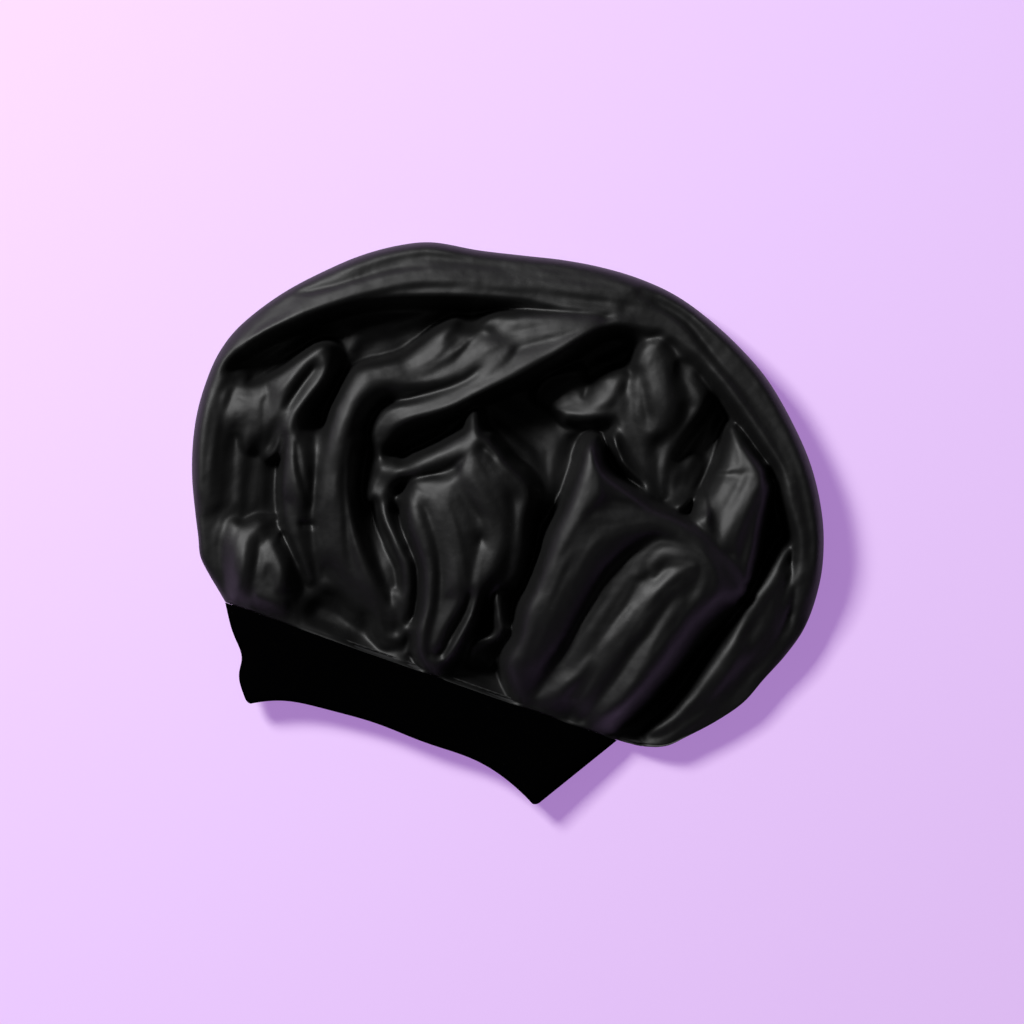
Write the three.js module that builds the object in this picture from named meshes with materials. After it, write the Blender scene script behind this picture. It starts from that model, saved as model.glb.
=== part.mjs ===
// Satin hair bonnet lying flat: a gathered crown with an airy rim, its lining and a wide stretch band.
// Millimetres, +Z up, the mouth towards -Y.
// The origin is the middle of the box that the bonnet fills, on the surface below it.
import * as THREE from 'three';
import { mergeVertices } from 'three/addons/utils/BufferGeometryUtils.js';

// Driving sizes
const crownWidth = 370;
const crownDepth = 254;
const crownHeight = 72;
const bandHeight = 50;
const bandMouthWidth = 176;
const seamHeight = 22;
const mouthHeight = 19;
const lipArch = 13;
const lipLift = 7;

// Cloth, thread and fit
const satinWall = 1.2;
const liningWall = 1.0;
const knitWall = 1.2;
const elasticWall = 1.1;
const elasticHeight = 32;
const clearance = 0.3;
const hollowHeight = 20;
const rimRound = 13;
const seamBead = 2.4;
const gatherThread = 0.9;
const backSeamThickness = 0.8;
const backSeamSteps = 2;

// Steps along and across the cloth
const shoulderSteps = 6;
const neckSteps = 25;
const bandSteps = 44;
const beadSides = 6;
const fanShare = 0.45;
const fanCentreShare = 0.13;
const rowShares = [0, 0.04, 0.1, 0.18, 0.27, 0.36, 0.45, 0.54, 0.63, 0.72, 0.81, 0.89, 0.95, 1];
const floorRowShares = [0, 0.07, 0.93, 1];

// Crown outline: x in shares of the crown's width, y in shares of its depth from the seam
const farEdgeShares = [[-0.461, 0.45], [-0.458, 0.52], [-0.445, 0.585], [-0.42, 0.65], [-0.387, 0.715],
  [-0.345, 0.78], [-0.3, 0.84], [-0.25, 0.89], [-0.2, 0.923], [-0.13, 0.94], [-0.06, 0.963], [0, 0.983],
  [0.06, 0.996], [0.12, 1], [0.18, 0.992], [0.24, 0.967], [0.3, 0.93], [0.36, 0.88], [0.42, 0.805],
  [0.47, 0.725], [0.51, 0.63], [0.533, 0.54], [0.542, 0.46]];
const nearEdgeShares = [[-0.461, 0.45], [-0.458, 0.38], [-0.448, 0.31], [-0.432, 0.24], [-0.41, 0.17],
  [-0.393, 0.12], [-0.38, 0.08], [-0.36, 0.05], [-0.34, 0.02], [-0.32, 0], [0.325, 0], [0.37, 0.01],
  [0.4, 0.025], [0.425, 0.06], [0.46, 0.115], [0.49, 0.175], [0.508, 0.24], [0.528, 0.31],
  [0.541, 0.38], [0.542, 0.46]];

// Main folds. Each crest is a path of [x, y, height, reach to the left, reach to the right].
// x and the reaches are shares of the crown's width, y of its depth and height of its height.
const foldShares = {
  rim: [[-0.4, 0.14, 0.44, 0.08, 0.06], [-0.433, 0.36, 0.5, 0.08, 0.06],
    [-0.43, 0.5, 0.54, 0.08, 0.065], [-0.375, 0.66, 0.58, 0.08, 0.065],
    [-0.26, 0.81, 0.58, 0.08, 0.065], [-0.12, 0.88, 0.59, 0.08, 0.065], [0.02, 0.915, 0.6, 0.08, 0.065],
    [0.15, 0.935, 0.6, 0.08, 0.065], [0.27, 0.88, 0.58, 0.08, 0.065], [0.39, 0.765, 0.57, 0.08, 0.06],
    [0.475, 0.615, 0.54, 0.08, 0.06], [0.51, 0.45, 0.5, 0.08, 0.06], [0.495, 0.3, 0.48, 0.08, 0.06],
    [0.46, 0.16, 0.44, 0.08, 0.06], [0.4, 0.05, 0.38, 0.06, 0.05]],
  leftPouch: [[-0.29, 0.03, 0.48, 0.1, 0.06], [-0.29, 0.1, 0.6, 0.12, 0.07],
    [-0.32, 0.2, 0.54, 0.1, 0.06], [-0.37, 0.32, 0.5, 0.08, 0.06]],
  firstFold: [[-0.18, 0.04, 0.42, 0.05, 0.05], [-0.23, 0.2, 0.56, 0.05, 0.055],
    [-0.29, 0.38, 0.62, 0.06, 0.055], [-0.31, 0.5, 0.62, 0.06, 0.055], [-0.3, 0.6, 0.58, 0.06, 0.06]],
  secondFold: [[-0.15, 0.05, 0.46, 0.05, 0.06], [-0.185, 0.2, 0.66, 0.05, 0.065],
    [-0.225, 0.37, 0.72, 0.055, 0.055], [-0.24, 0.52, 0.7, 0.055, 0.055],
    [-0.19, 0.61, 0.7, 0.055, 0.055], [-0.11, 0.68, 0.72, 0.07, 0.05], [-0.02, 0.77, 0.76, 0.08, 0.05],
    [0.06, 0.87, 0.68, 0.08, 0.05]],
  middleTurn: [[0.02, 0.03, 0.46, 0.06, 0.05], [0, 0.14, 0.62, 0.06, 0.06],
    [-0.03, 0.26, 0.7, 0.07, 0.06], [-0.05, 0.38, 0.74, 0.07, 0.06], [-0.03, 0.5, 0.77, 0.06, 0.06]],
  middleSide: [[0.07, 0.2, 0.5, 0.05, 0.045], [0.06, 0.34, 0.68, 0.06, 0.05],
    [0.03, 0.46, 0.74, 0.06, 0.05]],
  tallFold: [[0.16, 0.03, 0.52, 0.05, 0.08], [0.15, 0.12, 0.74, 0.05, 0.13],
    [0.15, 0.28, 0.88, 0.05, 0.15], [0.155, 0.44, 0.97, 0.05, 0.17], [0.155, 0.56, 1, 0.05, 0.17],
    [0.165, 0.6, 0.9, 0.04, 0.08]],
  tallFoldBack: [[0.17, 0.56, 0.98, 0.05, 0.1], [0.25, 0.5, 0.86, 0.05, 0.1],
    [0.34, 0.45, 0.77, 0.05, 0.08], [0.4, 0.4, 0.64, 0.05, 0.05]],
  fingerFold: [[0.28, 0.03, 0.5, 0.05, 0.07], [0.285, 0.12, 0.66, 0.06, 0.09],
    [0.305, 0.26, 0.74, 0.06, 0.1], [0.33, 0.42, 0.78, 0.06, 0.1]],
  rightPanel: [[0.41, 0.48, 0.62, 0.1, 0.05], [0.395, 0.6, 0.66, 0.1, 0.05],
    [0.375, 0.7, 0.58, 0.09, 0.05]],
  backDrape: [[0.22, 0.64, 0.42, 0.08, 0.05], [0.215, 0.74, 0.5, 0.08, 0.06],
    [0.2, 0.86, 0.54, 0.08, 0.06]],
};

// Places that the shares stand for
const seamLeft = nearEdgeShares.find(([, y]) => y === 0)[0] * crownWidth;
const seamRight = nearEdgeShares.findLast(([, y]) => y === 0)[0] * crownWidth;
const seamMiddle = (seamLeft + seamRight) / 2;
const crownLeft = farEdgeShares[0][0] * crownWidth;
const crownRight = farEdgeShares.at(-1)[0] * crownWidth;
const seamWidth = seamRight - seamLeft;
const edgeHeight = seamHeight / 2;
const endRoundness = 5;

// Value beside `at` in a table of [place, value] pairs, on straight lines between them.
function between(table, at) {
  const found = table.findIndex(([place]) => place >= at);
  const next = found < 0 ? table.length - 1 : Math.max(1, found);
  const [[fromPlace, fromValue], [toPlace, toValue]] = [table[next - 1], table[next]];
  const share = (at - fromPlace) / (toPlace - fromPlace);
  return fromValue + (toValue - fromValue) * Math.max(0, Math.min(1, share));
}

// Height of the cloth over one fold: round at the crest, down in the hollow at its reach.
function foldHeight(path, x, y) {
  let nearest = Infinity;
  let height = hollowHeight;
  for (let step = 1; step < path.length; step += 1) {
    const [from, to] = [path[step - 1], path[step]];
    const run = new THREE.Vector2((to[0] - from[0]) * crownWidth, (to[1] - from[1]) * crownDepth);
    const offset = new THREE.Vector2(x - from[0] * crownWidth, y - from[1] * crownDepth);
    const share = Math.max(0, Math.min(1, offset.dot(run) / run.lengthSq()));
    const distance = offset.clone().sub(run.clone().multiplyScalar(share)).length();
    if (distance < nearest) {
      nearest = distance;
      const value = (field) => from[field] + (to[field] - from[field]) * share;
      const reach = (run.cross(offset) > 0 ? value(3) : value(4)) * crownWidth;
      const slope = Math.min(1, distance / reach) * Math.PI;
      height = hollowHeight + ((value(2) * crownHeight - hollowHeight) * (1 + Math.cos(slope))) / 2;
    }
  }
  return height;
}

// Rise of a flattened ring above its middle plane, both as shares: round ends and a nearly flat middle.
function ringRise(across) {
  return Math.sqrt(Math.max(0, 1 - Math.abs(across) ** endRoundness));
}

// Half the height of the opening at the seam, at x, with the cloth's inset taken off.
function seamRise(x, inset) {
  return (seamHeight / 2 - inset) * ringRise((x - seamMiddle) / (seamWidth / 2 - inset));
}

// Crown edge nearer to the band and edge farther from it, at x.
function edgesAt(x) {
  return [nearEdgeShares, farEdgeShares].map((table) => between(table, x / crownWidth) * crownDepth);
}

// Height of the crown's outer face above the floor.
function crownTop(x, y, atSeam) {
  const [yNear, yFar] = edgesAt(x);
  const folds = Object.values(foldShares).map((path) => foldHeight(path, x, y));
  const cloth = Math.max(hollowHeight, ...folds);
  const rounded = (distance) => Math.sqrt(1 - (1 - Math.min(1, Math.max(0, distance / rimRound))) ** 2);
  const side = Math.min(rounded(x - crownLeft), rounded(crownRight - x));
  const edge = edgeHeight + (atSeam ? seamRise(x, 0) : 0);
  const lift = Math.min(rounded(yFar - y), rounded(y - yNear), side);
  const start = y - yNear < yFar - y ? edge : edgeHeight;
  return start + (cloth - start) * lift;
}

// Places of the columns of cloth, from the left side over the seam to the right side.
function columnPlaces() {
  const places = [];
  const shoulder = (from, to, share) => from + (to - from) * share * (1 + (1 - share) / 2);
  for (let step = 0; step < shoulderSteps; step += 1) {
    places.push(shoulder(seamLeft, crownLeft, 1 - step / shoulderSteps));
  }
  for (let step = 0; step <= neckSteps; step += 1) {
    places.push(seamLeft + ((seamRight - seamLeft) * step) / neckSteps);
  }
  for (let step = 1; step <= shoulderSteps; step += 1) {
    places.push(shoulder(seamRight, crownRight, step / shoulderSteps));
  }
  return places;
}

// How far a column leans outwards at one share of its way, as the gathers fan out from the seam.
function fanLean(place, share) {
  const middle = (crownLeft + crownRight) / 2;
  const sideways = (place - middle) / (crownRight - middle);
  const away = place - fanCentreShare * crownWidth;
  return away * fanShare * (4 * share * (1 - share)) ** 2 * (1 - Math.min(1, sideways ** 2)) ** 1.5;
}

// Upper and lower sheet of the crown at one inset from its outer face, as columns of points.
function crownFace(inset) {
  const places = columnPlaces();
  const sheet = (shares, upper) => places.map((place, column) => {
    const tip = column === 0 || column === places.length - 1;
    const atSeam = column >= shoulderSteps && column <= shoulderSteps + neckSteps;
    const corner = column === shoulderSteps || column === shoulderSteps + neckSteps;
    const [yNear, yFar] = edgesAt(place);
    return shares.map((share, row) => {
      const y = yNear + (yFar - yNear) * share;
      const onSeam = atSeam && row === 0;
      const onEdge = row === shares.length - 1 || (row === 0 && !atSeam) || tip;
      const inward = Math.sign(seamMiddle - place) * inset;
      const x = place + (upper ? fanLean(place, share) : 0);
      const moved = tip || (corner && row === 0) ? place + inward : x;
      const innerY = Math.min(yFar - inset, Math.max(yNear + (atSeam ? 0 : inset), y));
      let z;
      if (onEdge || (corner && row === 0)) z = edgeHeight;
      else if (onSeam) z = edgeHeight + (upper ? 1 : -1) * seamRise(place, inset);
      else if (upper) z = Math.max(edgeHeight, crownTop(x, y, atSeam) - inset);
      else z = inset;
      return new THREE.Vector3(moved, tip ? (yNear + yFar) / 2 : innerY, z);
    });
  });
  return { upper: sheet(rowShares, true), lower: sheet(floorRowShares, false) };
}

// Mesh made of strips between lists of points, each list as long as the next.
class Cloth {
  constructor() {
    this.points = [];
  }

  triangle(a, b, c, flipped) {
    const area = b.clone().sub(a).cross(c.clone().sub(a)).length();
    const corners = flipped ? [a, c, b] : [a, b, c];
    if (area > 0) corners.forEach((corner) => this.points.push(...corner.toArray()));
  }

  strips(lists, flipped = false) {
    for (let list = 1; list < lists.length; list += 1) {
      const [from, to] = [lists[list - 1], lists[list]];
      for (let step = 1; step < from.length; step += 1) {
        this.triangle(from[step - 1], to[step - 1], to[step], flipped);
        this.triangle(from[step - 1], to[step], from[step], flipped);
      }
    }
  }

  geometry() {
    const loose = new THREE.BufferGeometry();
    loose.setAttribute('position', new THREE.Float32BufferAttribute(this.points, 3));
    const joined = mergeVertices(loose);
    joined.computeVertexNormals();
    return joined;
  }
}

// Closed shell between two insets of the crown, open at the seam.
function crownShell(outerInset, innerInset) {
  const outer = crownFace(outerInset);
  const inner = crownFace(innerInset);
  const cloth = new Cloth();
  cloth.strips(outer.upper);
  cloth.strips(outer.lower, true);
  cloth.strips(inner.upper, true);
  cloth.strips(inner.lower);
  const seamColumns = [shoulderSteps, shoulderSteps + neckSteps + 1];
  const seamEdge = (sheet) => sheet.slice(...seamColumns).map((column) => column[0]);
  cloth.strips([seamEdge(outer.upper), seamEdge(inner.upper)]);
  cloth.strips([seamEdge(outer.lower), seamEdge(inner.lower)], true);
  return cloth.geometry();
}

// Point of the band at one step round it: `down` runs from the seam at 0 to the lip at 1.
function bandPoint(step, down, inset) {
  const angle = ((step % bandSteps) / bandSteps) * 2 * Math.PI;
  const across = Math.cos(angle);
  const up = Math.sign(bandSteps / 2 - (step % bandSteps)) * ringRise(across);
  const width = seamWidth + (bandMouthWidth - seamWidth) * down;
  const height = seamHeight + (mouthHeight - seamHeight) * down;
  const lip = bandHeight - lipArch * (1 - across ** 4);
  const lift = lipLift * down * across ** 4;
  const x = seamMiddle + (width / 2 - inset) * across;
  return new THREE.Vector3(x, -clearance - lip * down, height / 2 + lift + (height / 2 - inset) * up);
}

// Closed ring lofted through sections: each section is a list of [down, inset] pairs going round the wall.
function bandRing(section) {
  const cloth = new Cloth();
  const loops = [...section, section[0]].map(([down, inset]) => {
    const points = [];
    for (let step = 0; step <= bandSteps; step += 1) {
      points.push(bandPoint(step, down, inset));
    }
    return points;
  });
  cloth.strips(loops, true);
  return cloth.geometry();
}

// Straight run of section points at one inset.
function bandRun(from, to, inset, steps) {
  return Array.from({ length: steps + 1 }, (_, step) => [from + ((to - from) * step) / steps, inset]);
}

const wallRunSteps = 4;
const foldThickness = knitWall * 2 + elasticWall + clearance * 2;
const slotEnd = (elasticHeight + clearance * 2) / (bandHeight - lipArch);

function stretchBandGeometry() {
  const slot = knitWall + elasticWall + clearance * 2;
  return bandRing([
    ...bandRun(0, 1, 0, wallRunSteps),
    ...bandRun(1, 0, foldThickness, wallRunSteps),
    ...bandRun(0, slotEnd, slot, wallRunSteps),
    ...bandRun(slotEnd, 0, knitWall, wallRunSteps),
  ]);
}

function bandElasticGeometry() {
  const start = clearance / (bandHeight - lipArch);
  const end = start + elasticHeight / (bandHeight - lipArch);
  const outer = knitWall + clearance;
  return bandRing([
    ...bandRun(start, end, outer, wallRunSteps),
    ...bandRun(end, start, outer + elasticWall, wallRunSteps),
  ]);
}

// Thread ring of round section that lies inside the seam, `away` from the band's fold.
function seamRing(y, thickness, away) {
  const cloth = new Cloth();
  const radius = thickness / 2;
  const loops = [];
  for (let side = 0; side <= beadSides; side += 1) {
    const angle = ((side % beadSides) / beadSides) * 2 * Math.PI;
    const loop = [];
    for (let step = 0; step <= bandSteps; step += 1) {
      const point = bandPoint(step, 0, away + radius + radius * Math.cos(angle));
      point.y = y + radius * Math.sin(angle);
      loop.push(point);
    }
    loops.push(loop);
  }
  cloth.strips(loops, true);
  return cloth.geometry();
}

// Strip of stitches along the inside of the band's left end, where the knit strip closes.
function backSeamGeometry() {
  const cloth = new Cloth();
  const outer = foldThickness + clearance * 2;
  const ends = [clearance * 2 + seamBead, bandHeight - knitWall * 2].map((drop) => drop / bandHeight);
  const middle = bandSteps / 2;
  const steps = Array.from({ length: backSeamSteps * 2 + 1 }, (_, step) => middle - backSeamSteps + step);
  const side = (down, inset) => steps.map((step) => bandPoint(step, down, inset));
  const [outerNear, outerFar] = ends.map((down) => side(down, outer));
  const [innerNear, innerFar] = ends.map((down) => side(down, outer + backSeamThickness));
  cloth.strips([outerNear, outerFar, innerFar, innerNear, outerNear], true);
  const caps = [outerNear, outerFar, innerFar, innerNear];
  const [first, last] = [caps.map((row) => row[0]), caps.map((row) => row.at(-1))];
  cloth.strips([[first[0], first[1]], [first[3], first[2]]], true);
  cloth.strips([[last[0], last[1]], [last[3], last[2]]]);
  return cloth.geometry();
}

// Materials
const satin = new THREE.MeshStandardMaterial({ color: 0x121214, roughness: 0.34, metalness: 0 });
const satinInside = new THREE.MeshStandardMaterial({ color: 0x19191b, roughness: 0.5, metalness: 0 });
const knit = new THREE.MeshStandardMaterial({ color: 0x050506, roughness: 0.95, metalness: 0 });
const rubber = new THREE.MeshStandardMaterial({ color: 0x1d1d1f, roughness: 0.8, metalness: 0 });
const thread = new THREE.MeshStandardMaterial({ color: 0x0b0b0c, roughness: 0.7, metalness: 0 });

function named(name, geometry, material) {
  const mesh = new THREE.Mesh(geometry, material);
  mesh.name = name;
  return mesh;
}

const liningInset = satinWall + clearance;
const seamInset = Math.max(liningInset + liningWall, foldThickness) + clearance;
const bonnet = new THREE.Group();
bonnet.add(
  named('satin_crown', crownShell(0, satinWall), satin),
  named('crown_lining', crownShell(liningInset, liningInset + liningWall), satinInside),
  named('stretch_band', stretchBandGeometry(), knit),
  named('band_elastic', bandElasticGeometry(), rubber),
  named('join_seam', seamRing(-clearance / 2, seamBead, seamInset), thread),
  named('gather_thread', seamRing(seamBead, gatherThread, seamInset), thread),
  named('band_back_seam', backSeamGeometry(), thread),
);
bonnet.position.set(-(crownLeft + crownRight) / 2, (bandHeight + clearance - crownDepth) / 2, 0);

export default bonnet;
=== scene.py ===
# %% [markdown]
# # A satin sleep bonnet lying flat
# The object is a soft black hair bonnet on a table. Its big satin crown is gathered on to a doubled stretch
# band, and the crown has slumped into a puffed rim with tall folds in the middle. The CAD frame already
# holds each sewn piece as a plain solid. This lesson dresses every one of them in real cloth shapes and
# finishes, piece by piece, and never moves the frame.

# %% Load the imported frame
import math

import bpy
import numpy as np
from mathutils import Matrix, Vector
from mathutils.geometry import delaunay_2d_cdt


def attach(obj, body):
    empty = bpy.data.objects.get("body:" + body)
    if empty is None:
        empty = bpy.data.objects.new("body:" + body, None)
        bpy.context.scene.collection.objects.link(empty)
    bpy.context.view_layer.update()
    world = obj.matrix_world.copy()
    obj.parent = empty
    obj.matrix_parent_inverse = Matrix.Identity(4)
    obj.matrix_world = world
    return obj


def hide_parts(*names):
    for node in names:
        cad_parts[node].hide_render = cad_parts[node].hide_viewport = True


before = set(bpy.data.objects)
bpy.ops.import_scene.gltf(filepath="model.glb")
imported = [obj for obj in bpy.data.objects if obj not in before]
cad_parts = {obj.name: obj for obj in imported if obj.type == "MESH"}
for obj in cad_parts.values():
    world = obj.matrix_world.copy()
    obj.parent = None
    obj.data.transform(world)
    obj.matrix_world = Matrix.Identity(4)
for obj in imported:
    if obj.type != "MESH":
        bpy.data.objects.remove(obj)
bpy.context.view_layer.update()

# %% [markdown]
# ## Sizes
# Every table in this lesson is written in hundredths of the crown's width, depth and height, so that a
# fold can be read off as "a third of the way across". `place` turns such a pair into metres in the frame.

# %% Sizes shared with the CAD pieces
CROWN_WIDTH, CROWN_DEPTH, CROWN_HEIGHT = 0.370, 0.254, 0.072
BAND_HEIGHT, BAND_MOUTH_WIDTH = 0.050, 0.176
SEAM_HEIGHT, MOUTH_HEIGHT = 0.022, 0.019
SEAM_LEFT, SEAM_RIGHT = -0.32 * CROWN_WIDTH, 0.325 * CROWN_WIDTH
SEAM_WIDTH, SEAM_MIDDLE = SEAM_RIGHT - SEAM_LEFT, (SEAM_LEFT + SEAM_RIGHT) / 2
LIP_ARCH, LIP_LIFT = 0.013, 0.007
END_ROUNDNESS = 5
FRAME_SHIFT = np.array([-0.014985, -0.10185])
GAP = 0.0003


def place(across, away):
    """Metres in the frame from hundredths of the crown's width and depth."""
    return np.stack([across * CROWN_WIDTH, away * CROWN_DEPTH], axis=-1) / 100 + FRAME_SHIFT


def ring_rise(across):
    """Rise of a flattened ring over its middle plane: round ends and a nearly flat middle."""
    return np.sqrt(np.clip(1 - np.abs(across) ** END_ROUNDNESS, 0, 1))


print("seam runs from", place(-32, 0), "to", place(32.5, 0))

# %% [markdown]
# ## Camera
# The bonnet was looked at from straight above, from far enough away that nothing leans. A long lens from
# four metres does the same. The picture is turned a little: the band runs down to the right.

# %% Camera straight above
VIEW_WIDTH = 0.590
VIEW_CENTRE = (0.0048, 0.00165)
VIEW_TURN = math.radians(19.4)
CAMERA_HEIGHT = 4.0

camera_data = bpy.data.cameras.new("view_from_above")
camera_data.sensor_width = 36.0
camera_data.lens = camera_data.sensor_width * CAMERA_HEIGHT / VIEW_WIDTH
camera_data.clip_end = 2 * CAMERA_HEIGHT
camera = bpy.data.objects.new("view_from_above", camera_data)
bpy.context.scene.collection.objects.link(camera)
camera.location = (*VIEW_CENTRE, CAMERA_HEIGHT)
camera.rotation_euler = (0, 0, VIEW_TURN)
bpy.context.scene.camera = camera
print("lens", round(camera_data.lens), "mm")

# %% [markdown]
# ## Floor and light
# Black satin shows its folds only by what it mirrors, so the light matters as much as the cloth. One
# square lamp stands at the picture's upper left, about forty-five degrees up: it draws the shine on every
# face that leans its way and leaves the hollows black. A dim room does the rest. The floor is a plain
# lilac sheet: paint that takes the shadow, and a glow that only the camera and mirrored rays see, so that
# it lights nothing.


# %% Lamps, world and floor
def area_lamp(name, direction, elevation, distance, size, power):
    """Square lamp that looks at the bonnet's middle from a compass direction in the frame."""
    data = bpy.data.lights.new(name, "AREA")
    data.shape, data.size, data.energy = "SQUARE", size, power
    lamp = bpy.data.objects.new(name, data)
    bpy.context.scene.collection.objects.link(lamp)
    flat = Vector((*direction, 0)).normalized() * math.cos(math.radians(elevation))
    towards = Vector((flat.x, flat.y, math.sin(math.radians(elevation))))
    lamp.location = towards * distance
    lamp.rotation_euler = towards.to_track_quat("Z", "Y").to_euler()


LAMP_SIDE = (-0.93, 0.37)
FLOOR_PAINT = (0.505, 0.425, 0.512, 1)
FLOOR_TINT, FLOOR_GLOW = (0.70, 0.37, 1, 1), 0.53
FLOOR_REACH, FLOOR_LEVEL = 3.0, -0.0004
ROOM_COLOUR = (0.90, 0.90, 0.92, 1)
ZENITH_LIGHT, HORIZON_LIGHT, ZENITH_FROM = 0.03, 0.09, 0.8

area_lamp("window_light", LAMP_SIDE, elevation=44, distance=2.8, size=0.69, power=102)

world = bpy.data.worlds.new("pale_studio")
bpy.context.scene.world = world
world.use_nodes = True
nodes, links = world.node_tree.nodes, world.node_tree.links
direction = nodes.new("ShaderNodeTexCoord")
height_of_ray = nodes.new("ShaderNodeSeparateXYZ")
glow = nodes.new("ShaderNodeMapRange")
glow.inputs["From Min"].default_value, glow.inputs["From Max"].default_value = 0.0, ZENITH_FROM
glow.inputs["To Min"].default_value, glow.inputs["To Max"].default_value = HORIZON_LIGHT, ZENITH_LIGHT
background = nodes["Background"]
background.inputs["Color"].default_value = ROOM_COLOUR
links.new(direction.outputs["Generated"], height_of_ray.inputs[0])
links.new(height_of_ray.outputs["Z"], glow.inputs["Value"])
links.new(glow.outputs["Result"], background.inputs["Strength"])
bpy.context.scene.view_settings.view_transform = "Standard"

floor_mesh = bpy.data.meshes.new("pale_floor")
corners = [(x * FLOOR_REACH, y * FLOOR_REACH, 0) for x, y in ((-1, -1), (1, -1), (1, 1), (-1, 1))]
floor_mesh.from_pydata(corners, [], [(0, 1, 2, 3)])
floor = bpy.data.objects.new("pale_floor", floor_mesh)
bpy.context.scene.collection.objects.link(floor)
floor.location.z = FLOOR_LEVEL

floor_paint = bpy.data.materials.new("pale_floor_paint")
floor_paint.use_nodes = True
nodes, links = floor_paint.node_tree.nodes, floor_paint.node_tree.links
floor_shader = nodes["Principled BSDF"]
floor_shader.inputs["Base Color"].default_value = FLOOR_PAINT
floor_shader.inputs["Emission Color"].default_value = FLOOR_TINT
seen = nodes.new("ShaderNodeLightPath")
strength = seen.outputs["Is Camera Ray"]
for operation, other in (("MAXIMUM", seen.outputs["Is Glossy Ray"]),
                         ("MAXIMUM", seen.outputs["Is Transmission Ray"]), ("MULTIPLY", FLOOR_GLOW)):
    step = nodes.new("ShaderNodeMath")
    step.operation = operation
    links.new(strength, step.inputs[0])
    if operation == "MULTIPLY":
        step.inputs[1].default_value = other
    else:
        links.new(other, step.inputs[1])
    strength = step.outputs[0]
links.new(strength, floor_shader.inputs["Emission Strength"])
floor_shader.inputs["Roughness"].default_value = 0.6
floor_shader.inputs["Specular IOR Level"].default_value = 0.2
floor_mesh.materials.append(floor_paint)

# %% [markdown]
# ## The crown's outline and fold lines
# A crumpled crown can be made in three ways: by simulating a big bag as it falls, by sculpting, or by
# drawing its fold lines and letting a smooth surface span them. A simulation never lands in the same folds
# twice, and these folds are what make the bonnet look like itself, so the lines are drawn. Each crest runs
# along the top of a fold, each valley along the bottom beside it, and creases are pressed in at the end.

# %% Outline of the crown, from the seam's left end round to its right end
OUTLINE = [(-32, 0), (-34, 2.5), (-36, 5), (-38, 8), (-39.3, 12), (-41, 17), (-43.2, 24), (-44.8, 31),
           (-45.8, 38), (-46.1, 45), (-45.8, 52), (-44.5, 58.5), (-42, 65), (-38.7, 71.5), (-34.5, 78),
           (-30, 84), (-25, 89), (-20, 92.3), (-13, 94), (-6, 96.3), (0, 98.3), (6, 99.6), (12, 100),
           (18, 99.2), (24, 96.7), (30, 93), (36, 88), (42, 80.5), (47, 72.5), (51, 63), (53.3, 54),
           (54.2, 46), (54.1, 38), (52.8, 31), (50.8, 24), (49, 17.5), (46, 11.5), (42.5, 6), (40, 2.5),
           (37, 0.8), (34.5, 0.2), (32.5, 0)]

# %% Shoulder of the rim: way along the outline and height, in hundredths
SHOULDER = [(0, 22), (3, 30), (6, 35), (14, 36), (20, 42), (30, 48), (50, 50), (65, 47), (76, 40),
            (82, 28), (90, 24), (100, 20)]

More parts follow.
